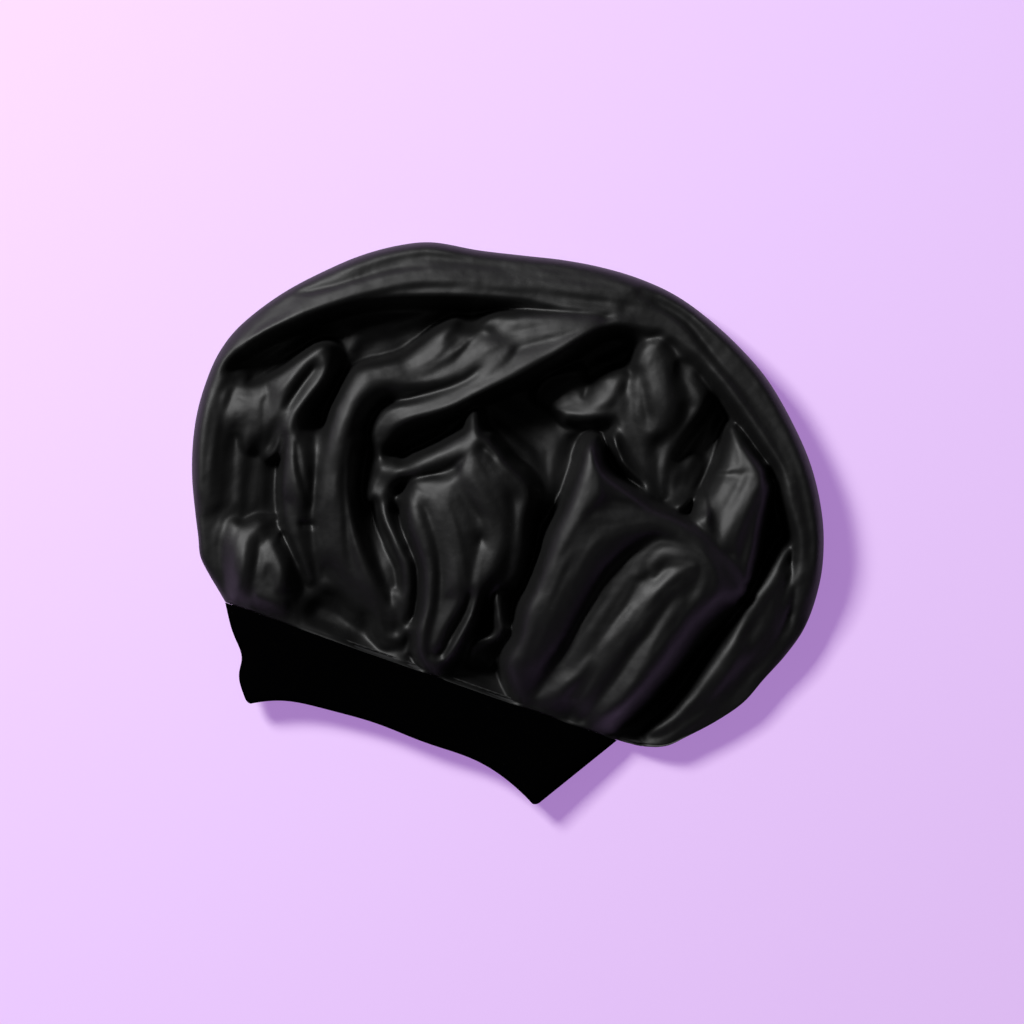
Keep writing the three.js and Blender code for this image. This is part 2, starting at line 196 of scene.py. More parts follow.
# %% Crests: across, away and height, in hundredths
CRESTS = {
    "rim": [(-44.6, 45, 44), (-44, 49.6, 48), (-42.8, 54, 51), (-40.9, 58.2, 53), (-38.6, 62.2, 55),
        (-35.6, 66.7, 56), (-32.2, 70.8, 57), (-28.4, 75, 57), (-24.6, 78.9, 57), (-20, 82.4, 57),
        (-16, 84.6, 57), (-12, 86.6, 57), (-8, 88.5, 57), (-4, 90, 57), (0, 91.4, 57), (4, 92.8, 56),
        (8, 94.2, 56), (11, 95.2, 55), (14, 95.4, 54)],
    "lip": [(-42, 54.6, 52), (-40, 58.6, 56), (-37, 63.1, 59), (-33.8, 67.2, 60), (-30.2, 71.2, 61),
        (-26.2, 74.9, 61), (-22.2, 77.7, 61), (-18.2, 79.8, 61), (-14.2, 81.6, 61), (-10, 83.5, 61),
        (-6, 85.1, 60), (-2, 86.6, 59), (2, 87.9, 58), (6, 89.3, 57), (9.4, 90.4, 56)],
    "rim_right": [(12.6, 93, 54), (16, 93.9, 54), (19, 93.4, 54), (22, 91.6, 54), (25, 88.9, 54),
        (28, 86.1, 54), (31, 83.4, 53), (34, 80.4, 53), (37, 77, 52), (40, 73.2, 51), (42.6, 69.4, 50),
        (44.6, 65.6, 49), (46.6, 61.2, 48), (48.4, 56.6, 46), (50, 51.4, 43), (51.3, 46, 39),
        (52.2, 41.2, 34), (52.7, 38, 29)],
    "rim_outer": [(16, 98.2, 49), (20, 96.6, 50), (24, 94.3, 50), (30, 90.2, 49), (36, 84.8, 48),
        (42, 77.3, 47), (46.6, 69.6, 46), (49.8, 61.7, 44), (51.9, 53.6, 41), (52.8, 46.4, 36),
        (53.2, 41.4, 31)],
    "wall_left": [(-45.2, 43, 44), (-44.8, 38, 44), (-43.9, 32, 43), (-42.8, 26, 42), (-41.8, 20, 40)],
    "pouch_one": [(-30.2, 18.6, 45), (-31.4, 16, 47), (-31.2, 12.6, 49), (-30.8, 9, 49), (-30.4, 5.6, 45),
        (-30.6, 2.4, 38)],
    "pouch_two": [(-27.4, 15.6, 46), (-25.6, 13.6, 49), (-24.5, 10.8, 50), (-24.3, 8, 47)],
    "pouch_three": [(-27.4, 3.4, 42), (-25, 3.6, 45), (-23.2, 3.4, 41)],
    "hairpin": [(-35.2, 41, 47), (-34.4, 44, 52), (-33.9, 47.4, 55), (-33.2, 51, 57), (-32.3, 54.8, 58),
        (-31.2, 58, 59), (-29.9, 59.8, 60), (-28.8, 58.8, 60), (-28.5, 56, 60), (-28.9, 53, 60),
        (-29.9, 49.2, 59), (-30.8, 45.8, 58), (-30.8, 42, 58), (-30.3, 38.6, 58), (-29.4, 35.4, 58),
        (-27.8, 31.6, 58), (-25.6, 27.6, 56)],
    "hairpin_patch": [(-39.4, 44.4, 45), (-37.6, 43.6, 47), (-36.2, 41.6, 48), (-35.4, 39.4, 46)],
    "fold_one_low": [(-26.2, 24.5, 50), (-24.6, 19.5, 46), (-22.4, 15, 41), (-20.4, 11, 35)],
    "fold_two": [(-22.3, 57, 63), (-23, 54.5, 64), (-23.3, 51, 64), (-23.3, 47, 64), (-23.1, 43, 63),
        (-22.6, 39, 61), (-21.8, 35.4, 59), (-21, 31.6, 58), (-20.1, 28, 55), (-19.2, 25, 53),
        (-18, 20.6, 49), (-16.4, 16.6, 44), (-14.8, 13.4, 39)],
    "fold_two_right": [(-21, 42, 57), (-20.6, 39, 56), (-20, 35.6, 56), (-19.1, 32.2, 57),
        (-17.9, 28.8, 57), (-16.4, 25, 55), (-14.6, 21.2, 53), (-12.6, 17.6, 50), (-10.8, 14.6, 46),
        (-9.2, 12.2, 42), (-8.2, 10.4, 37)],
    "fold_two_over": [(-22.3, 57, 63), (-20.4, 58.4, 63), (-18, 59.4, 63), (-15, 60.6, 63), (-12, 63, 64),
        (-9.6, 65.8, 65), (-7.6, 69, 66), (-6.4, 72, 66)],
    "hem": [(-17.6, 12.6, 30), (-15.4, 12.2, 32), (-13.6, 10.8, 32), (-11.6, 9.2, 31), (-10, 9.4, 31),
        (-8.8, 7.2, 30), (-8, 5.2, 28), (-6, 3.8, 27), (-4.4, 5.2, 27)],
    "fin": [(-14.2, 33.6, 44), (-12.9, 30.6, 50), (-11.3, 28, 54), (-9.6, 25.4, 55), (-8, 23.2, 55),
        (-6.8, 21.6, 53), (-6.1, 18.6, 48), (-5.3, 15, 42), (-4.6, 11.6, 36)],
    "lobe_back": [(-15.4, 65.6, 60), (-13.9, 68.6, 62), (-13.3, 71.6, 63), (-13.1, 74.6, 62),
        (-12.4, 76.6, 60)],
    "lobe_top": [(-6.4, 81.2, 57), (-3.4, 83.2, 59), (0, 84.9, 60), (4, 86.5, 60), (8, 88, 60)],
    "lobe_edge": [(-15.7, 47.4, 46), (-16, 49.8, 55), (-14.6, 52, 60), (-12, 54.4, 64), (-9.8, 56.6, 67),
        (-7.4, 59.4, 70), (-4.8, 63.2, 72), (-2.4, 66.6, 73), (-0.2, 69.8, 73), (1.8, 73, 73),
        (3.8, 76.6, 72), (5.6, 80.2, 71), (7.4, 83.5, 69), (9.2, 86.2, 66), (11.4, 87.7, 62),
        (14, 88.6, 58), (16.4, 89.4, 56)],
    "visor": [(-12.4, 40.4, 58), (-10.2, 42.9, 64), (-8.4, 45.1, 67), (-6.2, 48.3, 70), (-4.4, 50.9, 72),
        (-3.2, 53.2, 73)],
    "visor_tip": [(-12.7, 40.8, 56), (-12.5, 38.8, 50)],
    "flag": [(-5, 58.8, 62), (-4.3, 57.2, 67), (-3.6, 55.4, 72), (-3.2, 53.8, 74)],
    "loop": [(-3, 53.6, 74), (-1.6, 54, 74), (0, 52.4, 73), (1.8, 50.8, 72), (4, 49.6, 71),
        (5.8, 48.2, 69), (7.2, 46, 68), (7.6, 43.4, 67), (7.9, 40, 65), (8.6, 36.4, 63), (9.2, 32.8, 60),
        (9.5, 29.2, 56), (9.4, 26, 51)],
    "centre_line": [(-3.4, 49.4, 74), (-3.2, 46.8, 74), (-2, 44.6, 74), (-0.6, 42.5, 74), (1, 40.4, 73),
        (2.7, 38.7, 72), (3.9, 36.2, 71), (4.9, 32.4, 69), (4.7, 28.6, 67), (4.8, 25, 65), (5, 21.8, 62)],
    "right_leg": [(5, 21.6, 62), (5.3, 18.8, 61), (5.3, 15.4, 59), (5, 11.6, 57), (4.5, 8, 54),
        (3.9, 5.2, 49)],
    "turn": [(-10.2, 37.4, 66), (-9, 33.6, 67), (-7.4, 29.8, 67), (-5.4, 26.4, 66), (-4, 22.8, 65),
        (-3, 19, 63), (-2.5, 15, 61), (-2, 10.6, 58), (-1.2, 6, 54), (-0.2, 3.2, 49), (1.2, 1.6, 44),
        (2.6, 1.8, 45)],
    "turn_top": [(-9.6, 39.2, 62), (-8, 39.3, 65), (-6.4, 38.6, 68), (-5.5, 37.6, 69)],
    "turn_inner": [(-5.5, 37.6, 69), (-4, 35.8, 69), (-2.6, 33.4, 69), (-1.2, 30.4, 68), (0.2, 27, 66),
        (1.2, 24, 65), (2.2, 21.4, 63), (2.9, 18.6, 60), (2.4, 14.6, 56), (1.8, 10.4, 52),
        (1.6, 6.4, 48)],
    "pit_edge": [(8, 21.8, 50), (8.6, 19.6, 51), (9.9, 16.6, 51), (10.6, 14.8, 48), (9, 12.2, 40),
        (7.6, 9.6, 32)],
    "big": [(13.9, 61.4, 94), (15, 57, 96), (15.4, 52.6, 96), (15.4, 48.6, 95), (15.1, 44.6, 93),
        (14.8, 41, 91), (14.3, 36.8, 88), (14.1, 32.8, 86), (14, 28.7, 83), (13.9, 24.7, 80),
        (13.8, 20.8, 76), (13.7, 16.9, 71), (13.7, 12.9, 65), (13.9, 9, 58), (14.6, 5.4, 50),
        (16, 2.6, 42), (17.4, 1.6, 37)],
    "big_collar": [(17.4, 45.8, 91), (19.4, 46.6, 89), (21.6, 47.8, 87), (23.8, 49.4, 85), (26, 50.6, 83)],
    "big_over": [(14.6, 59.6, 95), (16.6, 56.6, 92), (19, 55, 89), (22, 53.8, 86), (25, 52.8, 83),
        (28, 51.6, 81), (31, 50.4, 78), (34, 48.8, 75), (37, 47, 71), (40, 44.6, 66), (42.4, 42.4, 60),
        (43.6, 41, 55)],
    "big_bottom": [(25, 15.4, 60), (23.8, 11.4, 56), (22.2, 7.6, 51), (20.8, 4.4, 45), (19.6, 2.6, 40)],
    "finger_knob": [(28.9, 41, 74), (29.2, 43.2, 76), (31, 44.4, 77), (33, 44.6, 77), (35, 44.6, 77),
        (36, 42.6, 76), (36.4, 40, 74), (36.4, 37.4, 71)],
    "finger": [(34.4, 42.4, 76), (32.6, 39.6, 75), (31.2, 36.6, 74), (30.2, 33.2, 73), (29.2, 29.8, 71),
        (28.6, 26.6, 70)],
    "finger_body": [(34.4, 33, 70), (33.6, 28, 69), (32.8, 22, 66), (31.8, 16, 61), (30.6, 10.6, 55),
        (29.4, 5.6, 47), (28.6, 2.4, 40)],
    "finger_edge": [(28, 28.6, 69), (27, 24.2, 67), (26, 20, 63), (25.4, 16, 59), (25, 12, 54),
        (24.6, 8.4, 49), (24.3, 5.4, 43)],
    "panel": [(33.4, 74.8, 50), (36, 72.4, 56), (38.6, 70.2, 60), (40.4, 68.4, 62), (39.8, 65.4, 65),
        (39.2, 62, 66), (38.7, 58, 67), (38.2, 54.4, 67), (37.9, 51.4, 66), (38.2, 49, 64)],
    "panel_side": [(41.6, 65.4, 59), (41.9, 61, 61), (42.2, 56, 61), (42.7, 51, 60), (43, 47, 59),
        (43.5, 43.4, 56)],
    "drape_top": [(18.4, 86.6, 54), (17.6, 84, 54), (17.2, 81.8, 53)],
    "drape_streak": [(18.6, 82, 54), (20, 79.6, 56), (21, 76.8, 56), (22, 74.2, 55), (22.6, 71.6, 52)],
    "drape_side": [(24.8, 82.4, 44), (26.8, 80, 46), (28, 77.6, 46), (27.4, 74, 45),
        (26.8, 71, 44), (25.8, 67, 42), (25.2, 63.4, 40), (25.4, 59.4, 38), (26.2, 55.4, 36)],
    "drape_low": [(15.4, 73, 44), (16.6, 69.4, 43), (17.8, 66.8, 42), (19.4, 63.8, 41), (21.2, 61, 40),
        (23.2, 58, 39), (25, 55, 36)],
    "tab": [(14.6, 78, 46), (14.4, 74.4, 48), (13.9, 71.4, 47), (12.4, 69.8, 44), (10.8, 69.4, 40)],
    "tab_low": [(9, 64.8, 38), (11.4, 65.6, 42), (13.6, 67, 43), (15.2, 68.4, 42)],
    "petal": [(4.8, 70.6, 27), (6.6, 71.2, 29), (8.4, 70.8, 30), (9.6, 69.4, 30)],
    "wall_right": [(38, 5, 28), (39.8, 9.6, 32), (41.3, 15.6, 36), (42.5, 22.6, 39), (43.7, 29.8, 41),
        (44.8, 36.2, 42), (46.2, 43, 42), (47.4, 50, 40), (48.2, 56, 34)],
    "wall_streak_one": [(48.6, 47.4, 39), (48.4, 44, 40), (48, 40, 40), (47.5, 35.6, 38), (47.2, 32, 36)],
    "wall_streak_two": [(49.9, 53, 38), (50.2, 48, 39), (50.2, 44, 38), (50.4, 40.6, 36)],
}

# %% Valleys: across, away and height, in hundredths
VALLEYS = {
    "rim_in": [(-43.6, 49.6, 30), (-42.2, 53, 24), (-40.4, 56.4, 18), (-38, 60, 14), (-35, 64, 12),
        (-31.8, 68, 11), (-28, 72, 11), (-24, 75, 11), (-20, 77.3, 11), (-16, 79.4, 11), (-12, 81.2, 12),
        (-8, 83, 16), (-4.6, 84.5, 24), (-1, 85.9, 34), (3, 87.3, 42), (7, 88.9, 47), (9.6, 89.8, 50)],
    "rim_right_in": [(13.6, 88.6, 40), (17, 88.8, 46), (20.4, 87.9, 42), (24, 85.3, 36), (28, 82, 24),
        (32, 78.1, 12), (36, 73.8, 12), (40, 69.2, 12), (43.2, 64.4, 12), (45.7, 60, 12),
        (47.5, 55.8, 13), (49, 51.2, 17), (50.4, 46, 22), (51.4, 41.4, 25), (52, 38, 24)],
    "one_left": [(-31.8, 41, 28), (-31.1, 36.8, 24), (-30.3, 31, 24), (-29.4, 26.6, 24), (-28, 22.4, 24),
        (-26, 18.4, 24), (-23.8, 15, 24), (-21.4, 11.8, 24), (-19.6, 9, 22)],
    "pouch_top": [(-36.4, 17.2, 33), (-34.8, 19.8, 31), (-33.4, 18, 30), (-31.8, 20.6, 29), (-30, 20.6, 27)],
    "pouch_hole": [(-30.2, 15.6, 38), (-29.6, 14.6, 38)],
    "pouch_between": [(-29.5, 13.4, 41), (-29.2, 9.8, 42), (-28.8, 5.6, 40), (-28.2, 1.6, 30)],
    "pouch_low": [(-28.3, 8.2, 43), (-26.6, 6.6, 43), (-24.8, 5.8, 42), (-23, 4.6, 38), (-21.8, 2.4, 30)],
    "pouch_right": [(-20.8, 3, 22), (-21.4, 7, 24), (-22.4, 10.6, 26), (-24, 13.8, 29), (-26, 16.6, 31),
        (-27.8, 18.6, 33)],
    "hairpin_in": [(-32.6, 46, 45), (-32.3, 50, 45), (-31.6, 54, 46), (-30.8, 57.2, 49)],
    "hairpin_out": [(-41, 46.8, 34), (-39, 48.9, 26), (-37.2, 51.6, 20), (-35.2, 54.8, 16),
        (-33.6, 58.6, 14), (-31.8, 62, 13), (-29.8, 63.6, 13), (-27.9, 62.2, 14), (-27.2, 58.6, 16),
        (-27.3, 54.6, 18), (-28.2, 50.6, 20), (-29, 46.6, 22), (-29.2, 43.4, 30)],
    "two_left": [(-26.2, 57, 14), (-26.7, 54.4, 15), (-26.6, 50, 15), (-26.4, 46, 18), (-26, 42, 26),
        (-25.4, 38.6, 36), (-25, 35, 41), (-24.7, 30.8, 42), (-24.3, 27, 41), (-23.5, 23, 39),
        (-22.2, 18.4, 36), (-20.6, 13.6, 31), (-19.2, 10, 22)],
    "two_out": [(-26.6, 57.8, 14), (-24.6, 60.8, 13), (-22.4, 62.8, 13), (-20.8, 64.2, 13),
        (-18.8, 66.6, 12), (-17.2, 69.8, 12), (-15.6, 73.4, 12), (-13.8, 76.2, 12), (-11.2, 78.8, 12),
        (-8.6, 81, 14), (-5.4, 83, 22), (-2, 84.9, 32), (2, 86.7, 42), (5.6, 88.2, 47)],
    "two_line": [(-21, 38, 55), (-20.3, 34.4, 53), (-19.4, 31, 52), (-18.4, 27.6, 50), (-17.2, 23.6, 47),
        (-15.6, 19.4, 44), (-13.6, 15.6, 40)],
    "two_hollow": [(-18.4, 55.6, 22), (-19.3, 52, 16), (-19.8, 48, 14), (-19.6, 44, 13), (-19.3, 40, 13),
        (-19.2, 36.6, 13), (-18.6, 33, 14), (-17.3, 29.4, 17), (-15.5, 25.6, 22), (-13.4, 21.8, 28),
        (-11.4, 18.2, 32), (-9.4, 15, 32), (-7.6, 12, 30)],
    "fin_left": [(-15, 33.4, 14), (-13.9, 30, 18), (-12.2, 27, 24), (-10.4, 24, 30), (-8.6, 21.4, 34),
        (-7.4, 18.4, 34), (-6.4, 14.8, 32)],
    "fin_right": [(-12.4, 33, 18), (-11, 30, 24), (-9.2, 27.2, 30), (-7.4, 24.4, 34), (-5.8, 21.6, 34),
        (-4.9, 18.6, 32), (-4.3, 14.6, 26), (-3.8, 10.6, 22)],
    "hem_low": [(-18.4, 9.4, 18), (-15.6, 10.2, 20), (-13.6, 8.8, 20), (-11.4, 7.4, 20), (-9.8, 6.8, 18),
        (-8.8, 4.4, 16), (-6.4, 2.2, 15), (-4, 3.4, 15)],
    "lobe_valley": [(-17.6, 55.4, 30), (-15.6, 57, 42), (-13.4, 59.4, 50), (-11.4, 61.6, 54),
        (-9.4, 63.8, 58), (-7.8, 66.4, 61), (-7, 69, 63)],
    "lobe_dip": [(-12, 71.6, 59), (-10.6, 74.2, 57), (-9, 76.6, 56)],
    "lobe_under": [(-15.4, 45.6, 16), (-14.2, 48.6, 14), (-12.2, 51.8, 14), (-9.6, 54.4, 14),
        (-7.2, 57.2, 15), (-6.2, 59.4, 20), (-4.9, 61.4, 24), (-3.4, 63.4, 24), (-1.4, 66, 20),
        (0.4, 68.2, 18), (2.4, 71, 16), (4.6, 74.6, 14), (6.4, 78.2, 12), (8, 81.4, 12), (9.8, 84.6, 13),
        (11.6, 86.4, 16), (13.6, 87.4, 26)],
    "visor_out": [(-13.8, 42.6, 13), (-11.6, 46, 13), (-9, 49.8, 14), (-7.2, 52.8, 16), (-6.9, 56, 18),
        (-6, 58.6, 22)],
    "loop_out": [(-4.2, 60, 26), (-3, 57.2, 28), (-1.6, 55.6, 28), (0.6, 54, 26), (3, 51.8, 22),
        (6, 50.2, 18), (8.2, 48, 15), (8.9, 44, 13), (9.2, 40, 13), (10, 36.4, 13), (10.6, 32.8, 13),
        (10.8, 29, 13), (10.6, 25, 14), (10.2, 22.6, 16)],
    "visor_in": [(-11.6, 39.8, 44), (-9.2, 42, 48), (-7.4, 44, 52), (-5.4, 46.8, 58), (-4.2, 49, 64)],
    "flag_in": [(-6, 53.6, 60), (-5.4, 56, 60)],
    "loop_in": [(-2.2, 52, 66), (-1, 51.6, 66), (0.2, 50.6, 68)],
    "centre_left": [(-4.6, 46.6, 66), (-3.8, 43.4, 62), (-2.4, 41, 60), (-0.6, 38.8, 58), (1.2, 36.8, 58),
        (2.6, 34.4, 60), (3.4, 31.4, 60)],
    "turn_left": [(-13.2, 38, 14), (-12, 38.6, 16), (-11.2, 36, 18), (-10.6, 32, 20), (-9.4, 28.6, 26),
        (-7.4, 25.4, 32), (-5.6, 22.4, 34), (-4.4, 19, 32), (-3.7, 15, 26), (-3.2, 10.4, 20),
        (-2.4, 6, 17), (-1.4, 3, 16), (0.4, 0.8, 15)],
    "turn_in": [(-7.8, 36.4, 60), (-6.2, 33, 60), (-4.4, 29.4, 59), (-3, 25.6, 57), (-1.8, 21.4, 54),
        (-0.8, 16.6, 50), (0, 11.6, 46), (0.4, 7, 42), (0.8, 4.2, 40)],
    "body_right": [(1.2, 33, 62), (2, 30, 62), (2.6, 26.6, 60), (3.2, 23.4, 56)],
    "turn_slit": [(3.4, 20.6, 50), (3.5, 17.6, 42), (3.3, 14, 34), (2.9, 10.4, 30), (2.7, 7, 28),
        (2.6, 4.4, 30)],
    "turn_right": [(8.4, 23.4, 24), (7.4, 22.6, 24), (6.2, 20.8, 22), (6.2, 17.6, 18), (6.2, 14, 16),
        (5.9, 10.4, 15), (5.3, 6.6, 14), (4.5, 3, 14)],
    "pit": [(7.4, 19.6, 13), (8, 16.4, 13), (8.8, 13.8, 13), (7, 12, 13)],
    "pit_out": [(9.6, 22, 15), (10.2, 18.6, 15), (11, 15.6, 15), (11, 12.6, 15), (9, 9.6, 15)],
    "floor_mid": [(-2.6, 62, 16), (1, 60.6, 15), (5, 59.6, 14), (8, 58.8, 14), (8.4, 54, 13), (9.8, 49, 13)],
    "seam_left": [(-18.6, 5, 13), (-15, 5.2, 13), (-11, 3.4, 13), (-7.6, 1.2, 14), (-3.4, 1.2, 14)],
    "seam_mid": [(5.5, 1.6, 12), (8, 3, 12), (10.5, 3, 12), (12.2, 1.6, 13)],
    "petal_under": [(1.2, 66.2, 18), (4, 65.4, 18), (7.6, 65.2, 18)],
    "tab_left": [(8.6, 74.4, 16), (10.2, 74.6, 18), (12, 77.4, 14), (14, 79.6, 14), (15, 82, 16),
        (14.9, 85, 18)],
    "petal_tab": [(10.2, 71.8, 26), (9.9, 69.8, 28)],
    "tab_under": [(7.8, 64, 16), (10.6, 64.4, 16), (13.4, 65.8, 18), (15.8, 66.8, 24)],
    "tab_right": [(15.3, 76.6, 40), (15.1, 72.6, 40), (14.4, 70.2, 38)],
    "big_left": [(12.6, 63.8, 15), (11.9, 61, 15), (12.2, 57, 15), (12.4, 52.6, 15), (12.2, 48.5, 14),
        (11.9, 44.3, 14), (11.3, 40, 14), (11.2, 36, 14), (11.1, 32, 14), (11, 28, 14), (10.8, 24, 14),
        (10.9, 20, 14), (10.9, 16, 14), (11, 12, 14), (11.7, 7.6, 14), (13.2, 4, 14), (15.4, 0.6, 14)],
    "big_out": [(13.4, 63.8, 16), (15.4, 61.4, 16), (15.8, 58.8, 16), (17.6, 56.8, 16), (20, 55.8, 16),
        (23, 54.8, 18), (26, 53.8, 24), (28.6, 52.8, 34), (30.6, 52, 58), (33.4, 51, 62),
        (36.6, 49.6, 62), (39.4, 47.4, 58), (41.8, 45, 54), (43.8, 42.6, 46)],
    "finger_left": [(28.1, 41, 70), (28.1, 37.6, 69), (27.7, 33.6, 68), (27.2, 29.6, 66),
        (26.4, 25.6, 63), (25.4, 21, 60), (24.7, 17, 56), (24.4, 13, 52), (24.1, 9, 45), (23.7, 5.6, 36),
        (23.6, 2.6, 24)],
    "finger_slit": [(30.6, 41, 70), (30.2, 38, 68), (29.5, 35, 68)],
    "finger_out": [(44.8, 40.4, 15), (43.4, 35.6, 13), (41.8, 30.6, 12), (40.2, 26, 11), (38.6, 20.6, 11),
        (37, 15, 11), (35.2, 9, 11), (33.6, 4.6, 11), (31.8, 0.8, 12)],
    "right_hollow": [(46.9, 57, 12), (46, 50.6, 11), (45, 44, 11), (43.8, 37, 11), (42.8, 30.6, 11),
        (41.6, 23.6, 11), (40.4, 16.6, 11), (39, 10.6, 11), (37, 5.6, 12), (34.8, 2.4, 12)],
    "right_hollow_up": [(44.2, 57, 11), (43.6, 63, 11), (42.6, 66.6, 11), (41.6, 69, 12)],
    "panel_over": [(32.6, 77, 12), (34.8, 75.4, 12), (37.4, 72.9, 13), (40, 70.6, 13), (41.8, 68.6, 13),
        (42.4, 65.6, 12), (42.8, 61, 12), (43.2, 56, 12), (43.8, 50.6, 12), (44.2, 46, 12),
        (44.8, 42.4, 13)],
    "panel_out": [(32.4, 75.6, 14), (32.6, 72, 15), (32.6, 68.6, 16), (32.2, 65, 18), (31.6, 61, 22),
        (31.2, 57, 26), (31, 53.6, 32)],
    "drape_right": [(29.4, 79.6, 12), (28.8, 76, 11), (28, 72, 11), (27.2, 68, 14), (26.8, 64, 20)],
    "drape_mid": [(16.6, 79.6, 47), (18.4, 76.4, 47), (19.8, 73, 46), (21.4, 69.4, 43)],
    "pit_back": [(14.8, 64.2, 15), (16.6, 61.6, 15), (18.4, 58.6, 15), (20.8, 57, 15), (23.4, 55.6, 18)],
    "streak_between": [(49.2, 46.6, 36), (49, 42, 36)],
    "pouch_left": [(-37.6, 17, 34), (-37.2, 13, 33), (-36.2, 9, 31), (-34.8, 5.4, 29), (-33.4, 2.6, 26)],
    "wall_slope_one": [(-42.2, 42, 40), (-41.6, 37, 39), (-40.7, 31, 38), (-39.6, 25, 37), (-38.8, 21, 36)],
    "wall_slope_two": [(-38.6, 38, 34), (-37.8, 33, 33), (-36.7, 27, 32), (-35.9, 22, 32)],
    "wall_slope_three": [(-35, 35, 28), (-34, 29, 28), (-33, 24, 28)],
}

# %% Creases: across, away, depth and half width, in hundredths
CREASES = {
    "rim_crease": [(-38.5, 71, 0.5, 0.5), (-36, 72, 1, 0.5), (-34, 73.8, 1.5, 0.5), (-32, 75.6, 1.5, 0.5),
        (-28, 80, 1.5, 0.6), (-24, 83.8, 1, 0.7), (-20, 86, 0.5, 0.8)],
    "rim_mid": [(13, 97, 2, 1), (17, 95.9, 3, 1), (21, 94.4, 4, 1), (24, 91.6, 4, 1), (27, 88.8, 4, 1),
        (30.5, 85.7, 4, 1), (34, 82.3, 4, 1), (37.5, 78.4, 3, 1), (41, 73.8, 2, 0.9), (44, 68.8, 1, 0.9)],
    "lip_crease": [(-41.6, 56.4, 1, 0.35), (-39.2, 60.6, 1, 0.35), (-36.2, 65, 1, 0.4),
        (-32.8, 69.2, 1, 0.4), (-29, 73.4, 1, 0.5), (-25, 77, 1.5, 0.6), (-20.4, 80.6, 2, 0.9),
        (-16, 82.8, 2, 1), (-10, 85.8, 2, 1), (-4, 88, 2, 1), (2, 90.2, 2, 1), (8, 92.4, 1, 1)],
    "panel_dimple": [(36.6, 66.4, 1, 1.2), (36.7, 63, 2, 1.2), (36.4, 59.6, 1, 1.2)],
    "one_pit": [(-24.4, 22.6, 3, 0.6), (-23.2, 23, 3, 0.6)],
    "one_line": [(-29.5, 39, 1, 0.4), (-28.2, 35, 2, 0.5), (-26.6, 31.6, 2, 0.5), (-25.2, 28.4, 1, 0.4)],
}

# %% [markdown]
# ## From lines to a height map
# Each point of the cloth gets three values. Its crest height is that of the nearest crest, its valley
# height is spread from all the valleys, and its place on the flank comes from a soap film that is 1 on
# every crest and 0 in every valley. A round profile then turns the three into cloth: blunt on the side
# that faces the lamp, with a gentle slope towards it, and steeper on the far side. Deep valleys are
# tilted a little so that their floors turn away from the lamp and stay black. The film is solved from
# coarse cells to fine ones, which settles it in a few hundred passes.

# %% Smooth paths and the grid
CELLS = (0.008, 0.004, 0.002, 0.001)
PASSES = (200, 120, 90, 90)
GRID_LOW, GRID_HIGH = np.array([-0.195, -0.114]), np.array([0.197, 0.160])
FINE = CELLS[-1]
OUTLINE_SPACING, NECK_POINTS = 0.0010, 240


def smooth_path(points, steps=10):
    """Curve through the points, with equal steps between each two."""
    points = np.array(points, float)
    ends = np.vstack([2 * points[0] - points[1], points, 2 * points[-1] - points[-2]])
    t = np.linspace(0, 1, steps, endpoint=False)[:, None]
    pieces = []
    for a, b, c, d in zip(ends, ends[1:], ends[2:], ends[3:]):
        pieces.append(b + 0.5 * t * (c - a + t * (2 * a - 5 * b + 4 * c - d + t * (3 * b - a - 3 * c + d))))
    return np.vstack([*pieces, points[-1:]])


def laid_out(points, spacing=0.0005):
    """Line of a table as a dense path in metres, with its other columns."""
    path = smooth_path(points)
    path[:, :2] = place(*path[:, :2].T)
    run = np.append(0, np.cumsum(np.hypot(*np.diff(path[:, :2], axis=0).T)))
    at = np.linspace(0, run[-1], max(3, int(run[-1] / spacing)))
    return np.column_stack([np.interp(at, run, column) for column in path.T])


outline = laid_out(OUTLINE, OUTLINE_SPACING)
neck_across = np.linspace(1, -1, NECK_POINTS)
neck = np.column_stack([SEAM_MIDDLE + neck_across * SEAM_WIDTH / 2, 0 * neck_across]) + FRAME_SHIFT
neck_top = SEAM_HEIGHT / 2 * (1 + ring_rise(neck_across))
print("outline", len(outline), "points, neck", len(neck))


# %% Soap films over pinned points
def in_cells(pinned_points, cell):
    """Sum and number of the pinned values in each cell, from arrays of x, y and value."""
    x, y, value = np.vstack(pinned_points).T
    shape = tuple(np.round((GRID_HIGH - GRID_LOW)[::-1] / cell).astype(int))
    row = np.clip(((y - GRID_LOW[1]) / cell).astype(int), 0, shape[0] - 1)
    column = np.clip(((x - GRID_LOW[0]) / cell).astype(int), 0, shape[1] - 1)
    total, count = np.zeros(shape), np.zeros(shape)
    np.add.at(total, (row, column), value)
    np.add.at(count, (row, column), 1)
    return total, count


def film(pinned_points):
    """Film through pinned points, solved from coarse cells to fine."""
    surface = None
    for cell, passes in zip(CELLS, PASSES):
        total, count = in_cells(pinned_points, cell)
        pinned, held = count > 0, total / np.maximum(count, 1)
        if surface is None:
            surface = np.full(total.shape, np.vstack(pinned_points)[:, 2].mean())
        else:
            rows, columns = ((np.arange(size) + 0.5) / size * coarse - 0.5
                             for size, coarse in zip(total.shape, surface.shape))
            surface = read_grid(surface, *np.meshgrid(rows, columns, indexing="ij"))
        for _ in range(passes):
            edge = np.pad(surface, 1, mode="edge")
            middle = (edge[:-2, 1:-1] + edge[2:, 1:-1] + edge[1:-1, :-2] + edge[1:-1, 2:]) / 4
            surface = np.where(pinned, held, middle)
    return surface


